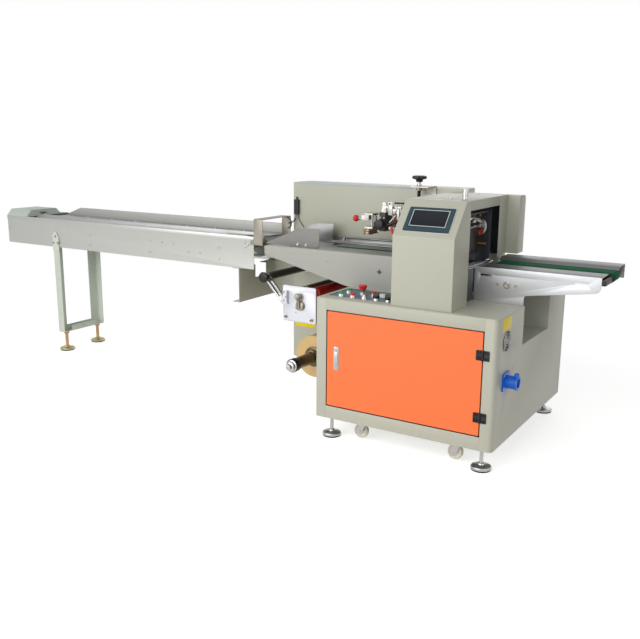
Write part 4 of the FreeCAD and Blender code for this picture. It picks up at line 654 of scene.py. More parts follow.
class Piece:
    """A mesh under construction, in metres, that ends as one object on one body."""

    def __init__(self, name: str, finish: Finish) -> None:
        """Starts an empty piece.

        Args:
            name: Plain name of the piece.
            finish: Finish of the faces made next.
        """
        self.name = name
        self.mesh = bmesh.new()
        self.finishes: list[Finish] = []
        self.use(finish)

    def use(self, finish: Finish) -> "Piece":
        """Sets the finish of the faces made next."""
        if finish not in self.finishes:
            self.finishes.append(finish)
        self.slot = self.finishes.index(finish)
        return self

    def _claim(self, faces: Iterable[bmesh.types.BMFace]) -> None:
        """Gives new faces the current finish."""
        for face in faces:
            face.material_index = self.slot

    def turned(self, profile: Sequence[tuple[float, float]], origin: Vector, axis: Vector,
               sides: int = 24) -> "Piece":
        """Adds a turned form.

        Args:
            profile: Radius and distance along the axis, in millimetres, from foot to tip.
            origin: Foot of the axis, in metres.
            axis: Direction of the axis.
            sides: Facets round the form.

        Returns:
            The piece.
        """
        axis = axis.normalized()
        side = axis.orthogonal().normalized()
        other = axis.cross(side)
        rings = []
        for radius, along in profile:
            centre = origin + axis * (along * MM)
            if radius <= 0:
                rings.append([self.mesh.verts.new(centre)])
                continue
            ring = []
            for k in range(sides):
                angle = 2 * math.pi * k / sides
                reach = side * math.cos(angle) + other * math.sin(angle)
                ring.append(self.mesh.verts.new(centre + reach * (radius * MM)))
            rings.append(ring)
        made = []
        for low, high in zip(rings, rings[1:]):
            for k in range(sides):
                n = (k + 1) % sides
                corners = [low[k % len(low)], low[n % len(low)],
                           high[n % len(high)], high[k % len(high)]]
                unique = list(dict.fromkeys(corners))
                if len(unique) > 2:
                    made.append(self.mesh.faces.new(unique))
        for ring in (rings[0], rings[-1]):
            if len(ring) > 2:
                made.append(self.mesh.faces.new(ring))
        self._claim(made)
        return self

    def slab(self, outline: Sequence[Vector], run: Vector, soften: float = 0.0) -> "Piece":
        """Adds a plate made by pushing a closed outline along run.

        Args:
            outline: Corners in order, in metres.
            run: Direction and thickness, in metres.
            soften: Width of the edge rounding, in millimetres.

        Returns:
            The piece.
        """
        low = [self.mesh.verts.new(point) for point in outline]
        high = [self.mesh.verts.new(point + run) for point in outline]
        made = [self.mesh.faces.new(low), self.mesh.faces.new(high)]
        count = len(outline)
        for k in range(count):
            n = (k + 1) % count
            made.append(self.mesh.faces.new([low[k], low[n], high[n], high[k]]))
        self._claim(made)
        if soften:
            edges = list({edge for face in made for edge in face.edges})
            result = bmesh.ops.bevel(self.mesh, geom=edges, offset=soften * MM, segments=2,
                                     profile=0.5, affect="EDGES", clamp_overlap=True)
            self._claim(result["faces"])
        return self

    def block(self, low: Vector, high: Vector, soften: float = 0.4) -> "Piece":
        """Adds a rectangular block between two corners, with softened edges.

        Args:
            low: Lower corner, in metres.
            high: Upper corner, in metres.
            soften: Width of the edge rounding, in millimetres.

        Returns:
            The piece.
        """
        outline = [Vector((low.x, low.y, low.z)), Vector((high.x, low.y, low.z)),
                   Vector((high.x, high.y, low.z)), Vector((low.x, high.y, low.z))]
        return self.slab(outline, Vector((0, 0, high.z - low.z)), soften)

    def tube(self, points: Sequence[Vector], radius: float, sides: int = 10) -> "Piece":
        """Adds a round bar or wire along a row of points.

        Args:
            points: The line to follow, in metres.
            radius: Radius in millimetres.
            sides: Facets round the bar.

        Returns:
            The piece.
        """
        rings = []
        side = (points[1] - points[0]).orthogonal().normalized()
        for k, point in enumerate(points):
            ahead = points[min(k + 1, len(points) - 1)] - points[max(k - 1, 0)]
            ahead.normalize()
            side = (side - ahead * side.dot(ahead)).normalized()
            other = ahead.cross(side)
            ring = []
            for n in range(sides):
                angle = 2 * math.pi * n / sides
                reach = side * math.cos(angle) + other * math.sin(angle)
                ring.append(self.mesh.verts.new(point + reach * (radius * MM)))
            rings.append(ring)
        made = [self.mesh.faces.new(rings[0]), self.mesh.faces.new(rings[-1])]
        for low, high in zip(rings, rings[1:]):
            for n in range(sides):
                m = (n + 1) % sides
                made.append(self.mesh.faces.new([low[n], low[m], high[m], high[n]]))
        self._claim(made)
        return self

    def hex_bolt(self, foot: Vector, axis: Vector, across: float, washer: bool = True) -> "Piece":
        """Adds a hexagon head with chamfered corners on a washer.

        Args:
            foot: Centre of the seat, in metres.
            axis: Direction in which the head stands.
            across: Width across the flats, in millimetres.
            washer: Whether a washer lies under the head.

        Returns:
            The piece.
        """
        axis = axis.normalized()
        lift = 0.0
        if washer:
            lift = across * 0.12
            self.turned([(0, 0), (across * 0.80, 0), (across * 0.84, lift * 0.4),
                         (across * 0.80, lift), (0, lift)], foot, axis, 20)
        corner, height = across / math.sqrt(3), across * 0.6
        self.turned([(corner, lift), (corner, lift + height * 0.82), (corner * 0.88, lift + height),
                     (0, lift + height)], foot, axis, 6)
        return self

    def socket_screw(self, foot: Vector, axis: Vector, head: float) -> "Piece":
        """Adds a cap screw with a sunk hexagon socket.

        Args:
            foot: Centre of the seat, in metres.
            axis: Direction in which the head stands.
            head: Diameter of the head, in millimetres.

        Returns:
            The piece.
        """
        r, h = head / 2, head * 0.55
        self.turned([(r, 0), (r, h * 0.85), (r * 0.9, h), (r * 0.55, h), (r * 0.5, h * 0.45),
                     (0, h * 0.45)], foot, axis, 18)
        return self

    def pan_screw(self, foot: Vector, axis: Vector, head: float) -> "Piece":
        """Adds a low domed screw head with a dimple.

        Args:
            foot: Centre of the seat, in metres.
            axis: Direction in which the head stands.
            head: Diameter of the head, in millimetres.

        Returns:
            The piece.
        """
        r, h = head / 2, head * 0.32
        self.turned([(r, 0), (r, h * 0.35), (r * 0.86, h * 0.75), (r * 0.5, h), (r * 0.22, h),
                     (r * 0.12, h * 0.55), (0, h * 0.5)], foot, axis, 14)
        return self

    def finish(self, body: str, sharp: float = 32.0, *replaced: str) -> bpy.types.Object:
        """Turns the mesh into an object that rides on a body.

        Args:
            body: Name of the CAD body.
            sharp: Angle in degrees past which an edge shades sharp.
            *replaced: CAD nodes that the piece stands for.

        Returns:
            The new object.
        """
        bmesh.ops.recalc_face_normals(self.mesh, faces=self.mesh.faces[:])
        data = bpy.data.meshes.new(self.name)
        self.mesh.to_mesh(data)
        self.mesh.free()
        data.shade_smooth()
        data.set_sharp_from_angle(angle=math.radians(sharp))
        for finish in self.finishes:
            data.materials.append(finish.material())
        made = bpy.data.objects.new(self.name, data)
        bpy.context.scene.collection.objects.link(made)
        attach(made, body)
        if replaced:
            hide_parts(*replaced)
        LOG.info("%s: %d faces on %s", self.name, len(data.polygons), body)
        return made


Region = Callable[[Vector, Vector], bool]


@dataclass
class DressedNode:
    """A CAD node redrawn with softened edges and the finishes of its regions.

    Attributes:
        node: Name of the CAD node.
        finish: Finish of every face that no region claims.
        soften: Width of the edge rounding, in millimetres.
        regions: Finishes with the test that claims a face by its middle and normal, both in the
            machine's datum and in millimetres.
        segments: Facets across a softened edge.
    """

    node: str
    finish: Finish
    soften: float = 0.8
    regions: Sequence[tuple[Finish, Region]] = ()
    segments: int = 2

    def build(self) -> bpy.types.Object:
        """Builds the dressed copy and hides the CAD node.

        Returns:
            The new object.
        """
        source = frame["nodes"][self.node]
        mesh = bmesh.new()
        mesh.from_mesh(source.data)
        bmesh.ops.remove_doubles(mesh, verts=mesh.verts[:], dist=0.00002)
        bmesh.ops.dissolve_limit(mesh, angle_limit=math.radians(1.0), verts=mesh.verts[:],
                                 edges=mesh.edges[:])
        if self.soften:
            edges = [edge for edge in mesh.edges
                     if edge.is_manifold and edge.calc_face_angle(0.0) > math.radians(35)]
            bmesh.ops.bevel(mesh, geom=edges, offset=self.soften * MM, segments=self.segments,
                            profile=0.5, affect="EDGES", clamp_overlap=True)
        finishes: list[Finish] = [self.finish]
        for face in mesh.faces:
            face.material_index = 0
            middle = (face.calc_center_median() - DATUM) / MM
            for finish, claims in self.regions:
                if claims(middle, face.normal):
                    if finish not in finishes:
                        finishes.append(finish)
                    face.material_index = finishes.index(finish)
                    break
        data = bpy.data.meshes.new(self.node + "_dressed")
        mesh.to_mesh(data)
        mesh.free()
        data.shade_smooth()
        data.set_sharp_from_angle(angle=math.radians(28))
        for finish in finishes:
            data.materials.append(finish.material())
        made = bpy.data.objects.new(self.node + "_dressed", data)
        bpy.context.scene.collection.objects.link(made)
        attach(made, body_of(self.node))
        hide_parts(self.node)
        LOG.info("%s: %d faces", made.name, len(data.polygons))
        return made


def dress_plain(finish: Finish, soften: float, *nodes: str) -> None:
    """Dresses CAD nodes that have one finish all over.

    Args:
        finish: The finish.
        soften: Width of the edge rounding, in millimetres.
        *nodes: Names of the CAD nodes.
    """
    for node in nodes:
        DressedNode(node, finish, soften).build()


def span(x: Pair = OPEN, y: Pair = OPEN, z: Pair = OPEN) -> Region:
    """Region test: the face's middle lies within ranges of the datum's millimetres.

    Args:
        x: Lowest and highest x; open if left out.
        y: Lowest and highest y; open if left out.
        z: Lowest and highest z; open if left out.

    Returns:
        The test.
    """
    ranges = (x, y, z)

    def claims(middle: Vector, normal: Vector) -> bool:
        """Tells whether the middle lies in all three ranges."""
        return all(low <= middle[axis] <= high for axis, (low, high) in enumerate(ranges))
    return claims


def around(x: float, y: float, z: float, radius: float, axis: Axis) -> Region:
    """Region test: the face's middle lies within a radius of a line along one axis.

    Args:
        x: Place of the line; the coordinate along the line doesn't count.
        y: Place of the line.
        z: Place of the line.
        radius: Reach round the line, in millimetres.
        axis: Axis that the line follows.

    Returns:
        The test.
    """
    centre = (x, y, z)

    def claims(middle: Vector, normal: Vector) -> bool:
        """Tells whether the middle lies near the line."""
        return sum((middle[k] - centre[k]) ** 2 for k in Axis if k != axis) <= radius * radius
    return claims


RIGHT, UP = Vector((1, 0, 0)), Vector((0, 0, 1))
FRONT, REAR = Vector((0, -1, 0)), Vector((0, 1, 0))
MACHINE = "machine"


# --------------------------------------------------------------------------------------
# sub-assemblies
# --------------------------------------------------------------------------------------

class SubAssembly:
    """A group of pieces that is dressed and then fitted with its small parts."""

    def dress(self) -> None:
        """Dresses the group's CAD nodes; a group without nodes leaves this out."""

    def add_fittings(self) -> None:
        """Adds the group's small parts; a group without any leaves this out."""


@dataclass
class Cabinet(SubAssembly):
    """Base cabinet with its door, hinges, latch, fan, inlet, feet and casters."""

    hinge_heights: Pair = (238.0, 498.0)
    hinge_axis_x: float = -56.5
    hinge_bolt: float = 8.0
    hinge_bolt_reaches: Pair = (11.5, 22.0)
    hinge_bolt_rise: float = 13.0
    leaf_front: float = -3.0
    fan: Pair = (112.0, 542.0)
    fan_pitch: float = 36.0
    fan_guard: Pair = (0.1, 20.0)
    inlet: Pair = (118.0, 372.0)
    inlet_pitch: float = 29.0
    inlet_flange: float = 6.0
    side_screw: float = 7.0
    label: Quad = (57.0, 155.0, 587.0, 641.0)
    label_sheet: float = 0.5
    latch_x: float = -729.0
    latch_half: float = 14.0
    latch_depths: Pair = (-10.0, 0.1)
    latch_heights: Pair = (300.0, 460.0)
    infeed_feet: Pair = (-5000.0, -2000.0)
    foot_levels: Quad = (-1.0, 7.6, 30.0, 200.0)
    caster_count: int = 4
    wheel_hub_r: float = 11.5

    def dress(self) -> None:
        """Dresses the cabinet's CAD nodes."""
        dress_plain(Finishes.cabinet, 0.6, "cabinet_floor", "cabinet_front_rails",
                    "cabinet_side_walls", "cabinet_rear_wall")
        dress_plain(Finishes.cabinet, 1.0, "cabinet_front_posts")
        dress_plain(Finishes.cabinet, 1.2, "cabinet_deck")
        dress_plain(Finishes.door, 1.0, "cabinet_door")
        dress_plain(Finishes.black, 0.5, "cabinet_hinge_leaves")
        latch = span((self.latch_x - self.latch_half, self.latch_x + self.latch_half),
                     self.latch_depths, self.latch_heights)
        DressedNode("door_hardware", Finishes.black, 0.5, [(Finishes.plated, latch)]).build()
        DressedNode("cooling_fan", Finishes.black, 0.3,
                    [(Finishes.plated, span(self.fan_guard))]).build()
        dress_plain(Finishes.blue, 1.0, "power_inlet")
        self._dress_feet()
        for k in range(1, self.caster_count + 1):
            dress_plain(Finishes.plated, 0.5, f"caster_fork_{k}")
            self._dress_wheel(k)

    def _dress_feet(self) -> None:
        """Dresses the levelling feet: rubber soles, bright discs, yellow ones at the infeed."""
        floor, sole, disc, stem = self.foot_levels
        DressedNode("levelling_feet", Finishes.plated, 0.5, [
            (Finishes.sole, span(z=(floor, sole))),
            (Finishes.yellow_zinc, span(self.infeed_feet, z=(sole, disc))),
            (Finishes.copper, span(self.infeed_feet, z=(disc, stem)))]).build()

    def _dress_wheel(self, index: int) -> None:
        """Dresses one caster wheel with a cream tread and a steel hub.

        Args:
            index: Number of the caster, from 1.
        """
        low, high = (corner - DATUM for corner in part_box(f"caster_wheel_{index}"))
        x, z = (low.x + high.x) / 2 / MM, (low.z + high.z) / 2 / MM
        DressedNode(f"caster_wheel_{index}", Finishes.nylon, 0.5,
                    [(Finishes.plated, around(x, 0, z, self.wheel_hub_r, Axis.Y))]).build()

    def add_fittings(self) -> None:
        """Adds the hinge bolts, the fan's and inlet's screws, and the bare side plate."""
        for body, side in ((MACHINE, 1), ("door", -1)):
            piece = Piece("hinge_bolts_" + body, Finishes.black)
            piece.use(Finishes.dark_steel)
            for height in self.hinge_heights:
                for across in self.hinge_bolt_reaches:
                    for rise in (-self.hinge_bolt_rise, self.hinge_bolt_rise):
                        foot = at(self.hinge_axis_x + side * across, self.leaf_front, height + rise)
                        piece.socket_screw(foot, FRONT, self.hinge_bolt)
            piece.finish(body)
        screws = Piece("side_screws", Finishes.plated)
        for (y, z), pitch, seat in ((self.fan, self.fan_pitch, 0.0),
                                    (self.inlet, self.inlet_pitch, self.inlet_flange)):
            for dy in (-pitch, pitch):
                for dz in (-pitch, pitch):
                    screws.pan_screw(at(seat, y + dy, z + dz), RIGHT, self.side_screw)
        screws.finish(MACHINE)
        y0, y1, z0, z1 = self.label
        plate = Piece("side_plate", Finishes.yellow)
        plate.block(at(0, y0, z0), at(self.label_sheet, y1, z1), 0.1)
        plate.finish(MACHINE)


@dataclass
class ControlPanel(SubAssembly):
    """Button plate on the deck, with the emergency stop."""

    front_row_y: float = 84.0
    rear_row_y: float = 166.0
    first_x: float = -757.0
    pitch: float = 58.5
    stop_x: float = -693.0
    cap_half: float = 17.0
    rear_cap_half: float = 14.0
    cap_low: float = 658.1
    cap_high: float = 698.2
    switch_steps: float = 1.75
    switch_half: Pair = (16.0, 12.0)
    switch_heights: Pair = (646.1, 670.0)
    collar_heights: Pair = (646.2, 700.0)
    mushroom_heights: Pair = (668.9, 720.0)

    def dress(self) -> None:
        """Dresses the plate, collars, caps and the mushroom button."""
        caps = []
        colours = (Finishes.green, Finishes.red, Finishes.plated, Finishes.knob, Finishes.knob)
        half = (self.cap_half, self.cap_half)
        heights = (self.cap_low, self.cap_high)
        for k, colour in enumerate(colours):
            x = self.first_x + self.pitch * k
            caps.append((colour, self._zone(x, self.front_row_y, half, heights)))
        half = (self.rear_cap_half, self.rear_cap_half)
        for steps, colour in ((-1.2, Finishes.green), (0.95, Finishes.red)):
            x = self.stop_x + self.pitch * steps
            caps.append((colour, self._zone(x, self.rear_row_y, half, heights)))
        x = self.stop_x + self.pitch * self.switch_steps
        caps.append((Finishes.white,
                     self._zone(x, self.rear_row_y, self.switch_half, self.switch_heights)))
        collars = (Finishes.polished, span(z=self.collar_heights))
        DressedNode("control_panel", Finishes.panel, 0.5, [*caps, collars]).build()
        DressedNode("emergency_stop", Finishes.plated, 0.8,
                    [(Finishes.red, span(z=self.mushroom_heights))]).build()

    def _zone(self, x: float, y: float, half: Pair, heights: Pair) -> Region:
        """Region test of one button's cap."""
        return span((x - half[0], x + half[0]), (y - half[1], y + half[1]), heights)


@dataclass
class Housing(SubAssembly):
    """Rear drive housing with its plain strips."""

    tape: Quad = (-1341.0, -681.0, 1091.0, 1098.0)
    strip: Quad = (-1364.0, -1236.0, 324.0, 353.0)
    face_y: float = 630.0
    strip_sheet: float = 0.5

    def dress(self) -> None:
        """Dresses the housing and the support channel."""
        DressedNode("rear_housing", Finishes.cabinet, 2.0, segments=3).build()
        dress_plain(Finishes.cabinet, 0.8, "support_channel")

    def add_fittings(self) -> None:
        """Adds the bare pale-blue strip along the top and the bare yellow one below."""
        for name, finish, (x0, x1, z0, z1) in (("top_strip", Finishes.pale_blue, self.tape),
                                               ("low_strip", Finishes.yellow, self.strip)):
            piece = Piece(name, finish)
            piece.block(at(x0, self.face_y - self.strip_sheet, z0), at(x1, self.face_y, z1), 0.1)
            piece.finish(MACHINE)


@dataclass
class OperatorStation(SubAssembly):
    """Operator box with its touch screen."""

    slope_low: Pair = (21.0, 943.0)
    slope_high: Pair = (140.0, 1086.0)
    middle_x: float = -341.0
    along: float = 84.0
    bezel: Pair = (203.0, 118.0)
    bezel_depth: float = 6.0
    window: Pair = (156.0, 76.0)
    window_rise: float = 6.0
    glass_sheet: float = 0.4
    rim: float = 2.4
    rim_height: float = 0.6
    outer_rim_height: float = 2.7

    def dress(self) -> None:
        """Dresses the box, and the bezel with its glass and bright rims."""
        DressedNode("operator_box", Finishes.cabinet, 2.0, segments=3).build()
        dress_plain(Finishes.bezel, 0.5, "touch_screen")
        low = at(self.middle_x, *self.slope_low)
        up = (at(self.middle_x, *self.slope_high) - low).normalized()
        normal = RIGHT.cross(up)
        centre = low + up * (self.along * MM)
        middle = centre + normal * (self.bezel_depth * MM) + up * (self.window_rise * MM)
        glass = Piece("display_window", Finishes.glass)
        w, h = self.window[0] / 2 * MM, self.window[1] / 2 * MM
        corners = [middle + RIGHT * x + up * z for x, z in ((-w, -h), (w, -h), (w, h), (-w, h))]
        glass.slab(corners, normal * (self.glass_sheet * MM))
        glass.finish(MACHINE)
        rims = Piece("screen_rims", Finishes.white)
        self._frame(rims, middle, up, self.window, self.rim_height)
        self._frame(rims, centre, up, self.bezel, self.outer_rim_height)
        rims.finish(MACHINE)

    def _frame(self, piece: Piece, centre: Vector, up: Vector, size: Pair, height: float) -> None:
        """Adds four thin bars round a rectangle on the slope.

        Args:
            piece: Piece that takes the bars.
            centre: Middle of the rectangle, in metres.
            up: Direction up the slope.
            size: Width and height inside the bars, in millimetres.
            height: How far the bars stand out, in millimetres.
        """
        w, h, r = size[0] / 2, size[1] / 2, self.rim
        for x0, x1, z0, z1 in ((-w - r, w + r, h, h + r), (-w - r, w + r, -h - r, -h),
                               (-w - r, -w, -h, h), (w, w + r, -h, h)):
            corners = [centre + RIGHT * (x * MM) + up * (z * MM)
                       for x, z in ((x0, z0), (x1, z0), (x1, z1), (x0, z1))]
            piece.slab(corners, RIGHT.cross(up) * (height * MM))


@dataclass
class Sealer(SubAssembly):
    """End sealer under its hood."""

    hood_bolts: tuple[Pair, ...] = ((-312.0, 220.0), (-318.0, 537.0))
    hood_bolt_head: float = 13.0
    hood_top: float = 1086.0
    left: float = -480.0
    right: float = -206.0
    sheet: float = 3.0
    reach: float = 1.5
    plate_y: float = 500.0
    wall_y: float = 627.0
    wall_bolts: Pair = (-285.0, -428.0)
    wall_bolt_z: float = 849.0
    wall_bolt_across: float = 17.0
    shaft_x: float = -297.0
    shaft_r: float = 17.3
    shaft_low: float = 690.0
    shaft_high: float = 950.0
    ring_r: float = 47.0
    ring_depths: Pair = (11.0, 0.5)
    jaws: tuple[Pair, Pair, Pair] = ((-321.0, -273.0), (235.0, 460.0), (700.0, 945.0))
    post: Pair = (-243.0, 206.0)
    post_r: float = 12.0
    post_height: float = 46.0
    wire_r: float = 2.4
    wire_count: int = 4
    wire_reach: float = 22.0
    wire_pitch: float = 4.6
    wire_steps: int = 14
    wire_arc: Pair = (-150.0, 130.0)
    strip: Quad = (-314.0, -252.0, 871.0, 877.0)
    blocks: Pair = (-309.0, -284.0)
    block_width: float = 17.0
    block_heights: Pair = (992.0, 1014.0)
    guard: tuple[float, float, float, float, float] = (-235.0, 201.0, 316.0, 650.0, 794.0)

    def dress(self) -> None:
        """Dresses the hood, with painted shade on its inward faces, and the jaw unit."""
        for node in ("sealer_hood_top", "sealer_hood_columns"):
            # The hood's inward faces get near-black painted shade.
            DressedNode(node, Finishes.cabinet, 0.8, [(Finishes.inside, self._is_shaded_hood_face)]).build()
        steel = [(Finishes.polished, around(self.shaft_x, 0, z, self.shaft_r, Axis.Y))
                 for z in (self.shaft_high, self.shaft_low)]
        DressedNode("sealer_unit", Finishes.lining, 0.6,
                    [(Finishes.machined, self._is_ring), *steel,
                     (Finishes.dark_steel, span(*self.jaws))]).build()
        dress_plain(Finishes.polished, 0.4, "slide_comb")

    def _is_shaded_hood_face(self, middle: Vector, normal: Vector) -> bool:
        """Tells whether a face of the hood looks inward and so takes the painted shade."""
        under = normal.z < -0.5 and middle.z > self.hood_top - 2 * self.sheet
        rear = normal.y < -0.5 and middle.y > self.wall_y - 2
        left = normal.x > 0.5 and abs(middle.x - self.left - self.sheet) < self.reach
        right = normal.x < -0.5 and abs(middle.x - self.right + self.sheet) < self.reach
        return under or rear or left or right

    def _is_ring(self, middle: Vector, normal: Vector) -> bool:
        """Tells whether a face belongs to the ring in front of the bearing plate."""
        near = around(self.shaft_x, 0, self.shaft_high, self.ring_r, Axis.Y)(middle, normal)
        front, back = self.ring_depths
        return near and self.plate_y - front < middle.y < self.plate_y - back

    def add_fittings(self) -> None:
        """Adds the hood's bolts and post, the wires and blocks inside, and the guard below."""
        bolts = Piece("hood_bolts", Finishes.plated)
        for x, y in self.hood_bolts:
            bolts.socket_screw(at(x, y, self.hood_top), UP, self.hood_bolt_head)
        for x in self.wall_bolts:
            bolts.hex_bolt(at(x, self.wall_y, self.wall_bolt_z), FRONT, self.wall_bolt_across)
        bolts.finish(MACHINE)
        r, h = self.post_r, self.post_height
        post = Piece("hood_post", Finishes.polished)
        post.turned([(r + 4, 0), (r + 4, 3), (r, 4.5), (r, h * 0.36), (r - 1.2, h * 0.38),
                     (r - 1.2, h * 0.42), (r, h * 0.44), (r, h - 2), (r - 2, h), (0, h)],
                    at(*self.post, self.hood_top), UP, 32)
        post.finish(MACHINE)
        self._add_wires()
        self._add_blocks()
        x, y0, y1, z0, z1 = self.guard
        mesh = Piece("lower_guard", Finishes.mesh)
        mesh.block(at(x - 1, y0, z0), at(x, y1, z1), 0)
        mesh.finish(MACHINE)

    def _add_wires(self) -> None:
        """Adds the heater wires round the upper shaft."""
        wires = Piece("heater_wires", Finishes.orange)
        front = self.plate_y - 14
        start, sweep = self.wire_arc
        for k in range(self.wire_count):
            reach = self.wire_reach + self.wire_pitch * k
            points = []
            for step in range(self.wire_steps + 1):
                angle = math.radians(start + sweep * step / self.wire_steps)
                points.append(at(self.shaft_x + reach * math.cos(angle),
                                 front + 3 * math.sin(step + k),
                                 self.shaft_high - 4 + reach * 1.1 * math.sin(angle)))
            last = k == self.wire_count - 1
            wires.use(Finishes.red if last else Finishes.orange).tube(points, self.wire_r, 8)
        wires.finish(MACHINE)

    def _add_blocks(self) -> None:
        """Adds the amber strip and the terminal blocks on the bearing plate."""
        x0, x1, z0, z1 = self.strip
        blocks = Piece("terminal_blocks", Finishes.amber)
        blocks.block(at(x0, self.plate_y - 10, z0), at(x1, self.plate_y, z1), 0.6)
        z0, z1 = self.block_heights
        blocks.use(Finishes.bronze)
        for x in self.blocks:
            blocks.block(at(x, self.plate_y - 12, z0),
                         at(x + self.block_width, self.plate_y, z1), 1.2)
        blocks.finish(MACHINE)


@dataclass
class FormingTable(SubAssembly):
    """Forming table with its film formers and belts."""

    plate_y: float = 283.0
    bar_depths: Pair = (478.0, 600.0)
    bar_heights: Pair = (812.0, 860.0)
    star_hole: Pair = (-673.6, 734.0)
    star_r: float = 8.5
    star_tick: Pair = (1.7, 1.3)
    star_core_r: float = 4.5
    small_screw: Pair = (-951.0, 759.0)
    small_screw_head: float = 9.0
    former_y: float = 330.0
    former_screws: Pair = (-1150.0, -1101.5)
    former_screw_z: float = 818.5
    former_screw_across: float = 10.0

    def dress(self) -> None:
        """Dresses the table's sheets, formers and belts."""
        dress_plain(Finishes.table, 0.5, "table_front_plate")
        dress_plain(Finishes.deck, 0.3, "table_deck")
        bars = span(y=self.bar_depths, z=self.bar_heights)
        DressedNode("film_formers", Finishes.dull, 0.3, [(Finishes.drawn, bars)]).build()
        dress_plain(Finishes.belting, 0.3, "conveyor_belts")

    def add_fittings(self) -> None:
        """Adds the star-shaped adjusting hole, and the small screws."""
        x, z = self.star_hole
        r, core = self.star_r, self.star_core_r
        star = Piece("adjusting_hole", Finishes.black)
        star.turned([(r, 0), (r, 0.5), (0, 0.5)], at(x, self.plate_y, z), FRONT, 24)
        tick, half = r * self.star_tick[0], self.star_tick[1]
        for dx, dz in ((tick, half), (half, tick)):
            star.block(at(x - dx, self.plate_y - 0.4, z - dz), at(x + dx, self.plate_y, z + dz), 0)
        star.use(Finishes.bronze)
        star.turned([(core, 0), (core, 1.2), (0, 1.2)], at(x, self.plate_y, z), FRONT, 20)
        x, z = self.small_screw
        star.use(Finishes.lever)
        star.pan_screw(at(x, self.plate_y, z), FRONT, self.small_screw_head)
        star.use(Finishes.plated)
        for x in self.former_screws:
            star.hex_bolt(at(x, self.former_y, self.former_screw_z), FRONT,
                          self.former_screw_across)
        star.finish(MACHINE)


@dataclass(frozen=True)
class Bar:
    """A straight round bar between two places, in the datum's millimetres."""

    finish: Finish
    start: Place
    end: Place
    radius: float
    sides: int = 18

    def add(self, piece: Piece) -> None:
        """Adds the bar to a piece."""
        piece.use(self.finish).tube([at(*self.start), at(*self.end)], self.radius, self.sides)


@dataclass
class FinSeal(SubAssembly):
    """Fin seal unit with its levers and the height adjuster."""

    wheel_zone: tuple[Pair, Pair, Pair] = ((-848.0, -796.0), (418.0, 522.0), (881.0, 907.8))
    heater_zone: tuple[Pair, Pair, Pair] = ((-777.0, -739.0), (461.0, 531.0), (897.0, 987.0))
    ball_reach: float = 29.0
    knob_stem: Pair = (1082.0, 1129.9)
    bar_top: float = 1016.0
    handle: Pair = (-702.0, -650.0)
    handle_y: float = 477.0
    handle_rise: float = 17.0
    handle_r: float = 4.2
    handle_insets: Pair = (14.0, 18.0)
    straps: tuple[tuple[Place, Place, float], ...] = (
        ((-677.0, 452.0, 957.0), (-666.0, 462.0, 1005.0), 0.8),
        ((-724.0, 454.0, 976.0), (-702.0, 460.0, 1038.0), 1.2))
    bars: tuple[Bar, ...] = (
        Bar(Finishes.machined, (-712.0, 450.0, 943.0), (-683.0, 454.0, 977.0), 4.6),
        Bar(Finishes.machined, (-706.0, 466.0, 972.0), (-684.0, 468.0, 1002.0), 3.0, 14),
        Bar(Finishes.dark_steel, (-721.0, 449.0, 931.0), (-679.0, 452.0, 947.0), 6.4))
    pin: Bar = Bar(Finishes.red, (-694.0, 454.0, 952.0), (-685.0, 456.0, 966.0), 3.2, 14)
    wedge: tuple[Pair, ...] = ((-712.0, 925.0), (-701.0, 925.0), (-690.0, 896.0),
                               (-695.0, 888.0), (-708.0, 908.0))
    wedge_depths: Pair = (446.0, 454.0)
    wedge_bolt: Place = (-708.0, 445.0, 917.0)
    ring: Place = (-715.0, 454.0, 1030.0)
    ring_radii: Pair = (7.5, 4.5)
    ring_width: float = 5.0
    block_y: float = 462.0
    block_screws: tuple[Pair, ...] = ((-768.0, 962.0), (-748.0, 962.0), (-768.0, 916.0))
    small_head: float = 7.0

    def dress(self) -> None:
        """Dresses the unit, the levers and the knobs."""
        DressedNode("fin_seal_unit", Finishes.machined, 0.5,
                    [(Finishes.brass, span(*self.wheel_zone)),
                     (Finishes.dark_steel, span(*self.heater_zone))]).build()
        low = (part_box("ball_lever")[0] - DATUM) / MM
        ball = span((low.x - 1.0, low.x + self.ball_reach))
        DressedNode("ball_lever", Finishes.machined, 0.3, [(Finishes.red, ball)]).build()
        dress_plain(Finishes.knob, 0.5, "fin_seal_knob")
        dress_plain(Finishes.aluminium, 0.6, "height_bracket")
        DressedNode("height_knob", Finishes.knob, 0.8,
                    [(Finishes.plated, span(z=self.knob_stem))]).build()

    def add_fittings(self) -> None:
        """Adds the carrying handle, the links beside the heater block and the small screws."""
        self._add_handle()
        links = Piece("seal_unit_links", Finishes.machined)
        for low, high, soften in self.straps:
            links.block(at(*low), at(*high), soften)
        for bar in self.bars:
            bar.add(links)
        front, back = self.wedge_depths
        links.use(Finishes.red)
        links.slab([at(x, front, z) for x, z in self.wedge], REAR * ((back - front) * MM), 0.8)
        self.pin.add(links)
        links.use(Finishes.plated)
        links.hex_bolt(at(*self.wedge_bolt), FRONT, self.small_head)
        outer, inner = self.ring_radii
        links.turned([(outer, 0), (outer, self.ring_width), (inner, self.ring_width), (inner, 0)],
                     at(*self.ring), FRONT, 24)
        for x, z in self.block_screws:
            links.socket_screw(at(x, self.block_y, z), FRONT, self.small_head)
        links.finish(MACHINE)

    def _add_handle(self) -> None:
        """Adds the black carrying handle on its two studs."""
        x0, x1 = self.handle
        length, r = x1 - x0, self.handle_r
        y, z = self.handle_y, self.bar_top + self.handle_rise
        handle = Piece("seal_unit_handle", Finishes.knob)
        handle.turned([(0, 0), (r - 1.2, 0), (r, 1.5), (r, length - 1.5), (r - 1.2, length),
                       (0, length)], at(x0, y, z), RIGHT, 20)
        handle.use(Finishes.plated)
        for x in (x0 + self.handle_insets[0], x1 - self.handle_insets[1]):
            handle.turned([(3, 0), (3, self.handle_rise)], at(x, y, self.bar_top), UP, 16)
            handle.socket_screw(at(x, y - 5, self.bar_top - 5), FRONT, self.small_head)
        handle.finish(MACHINE)


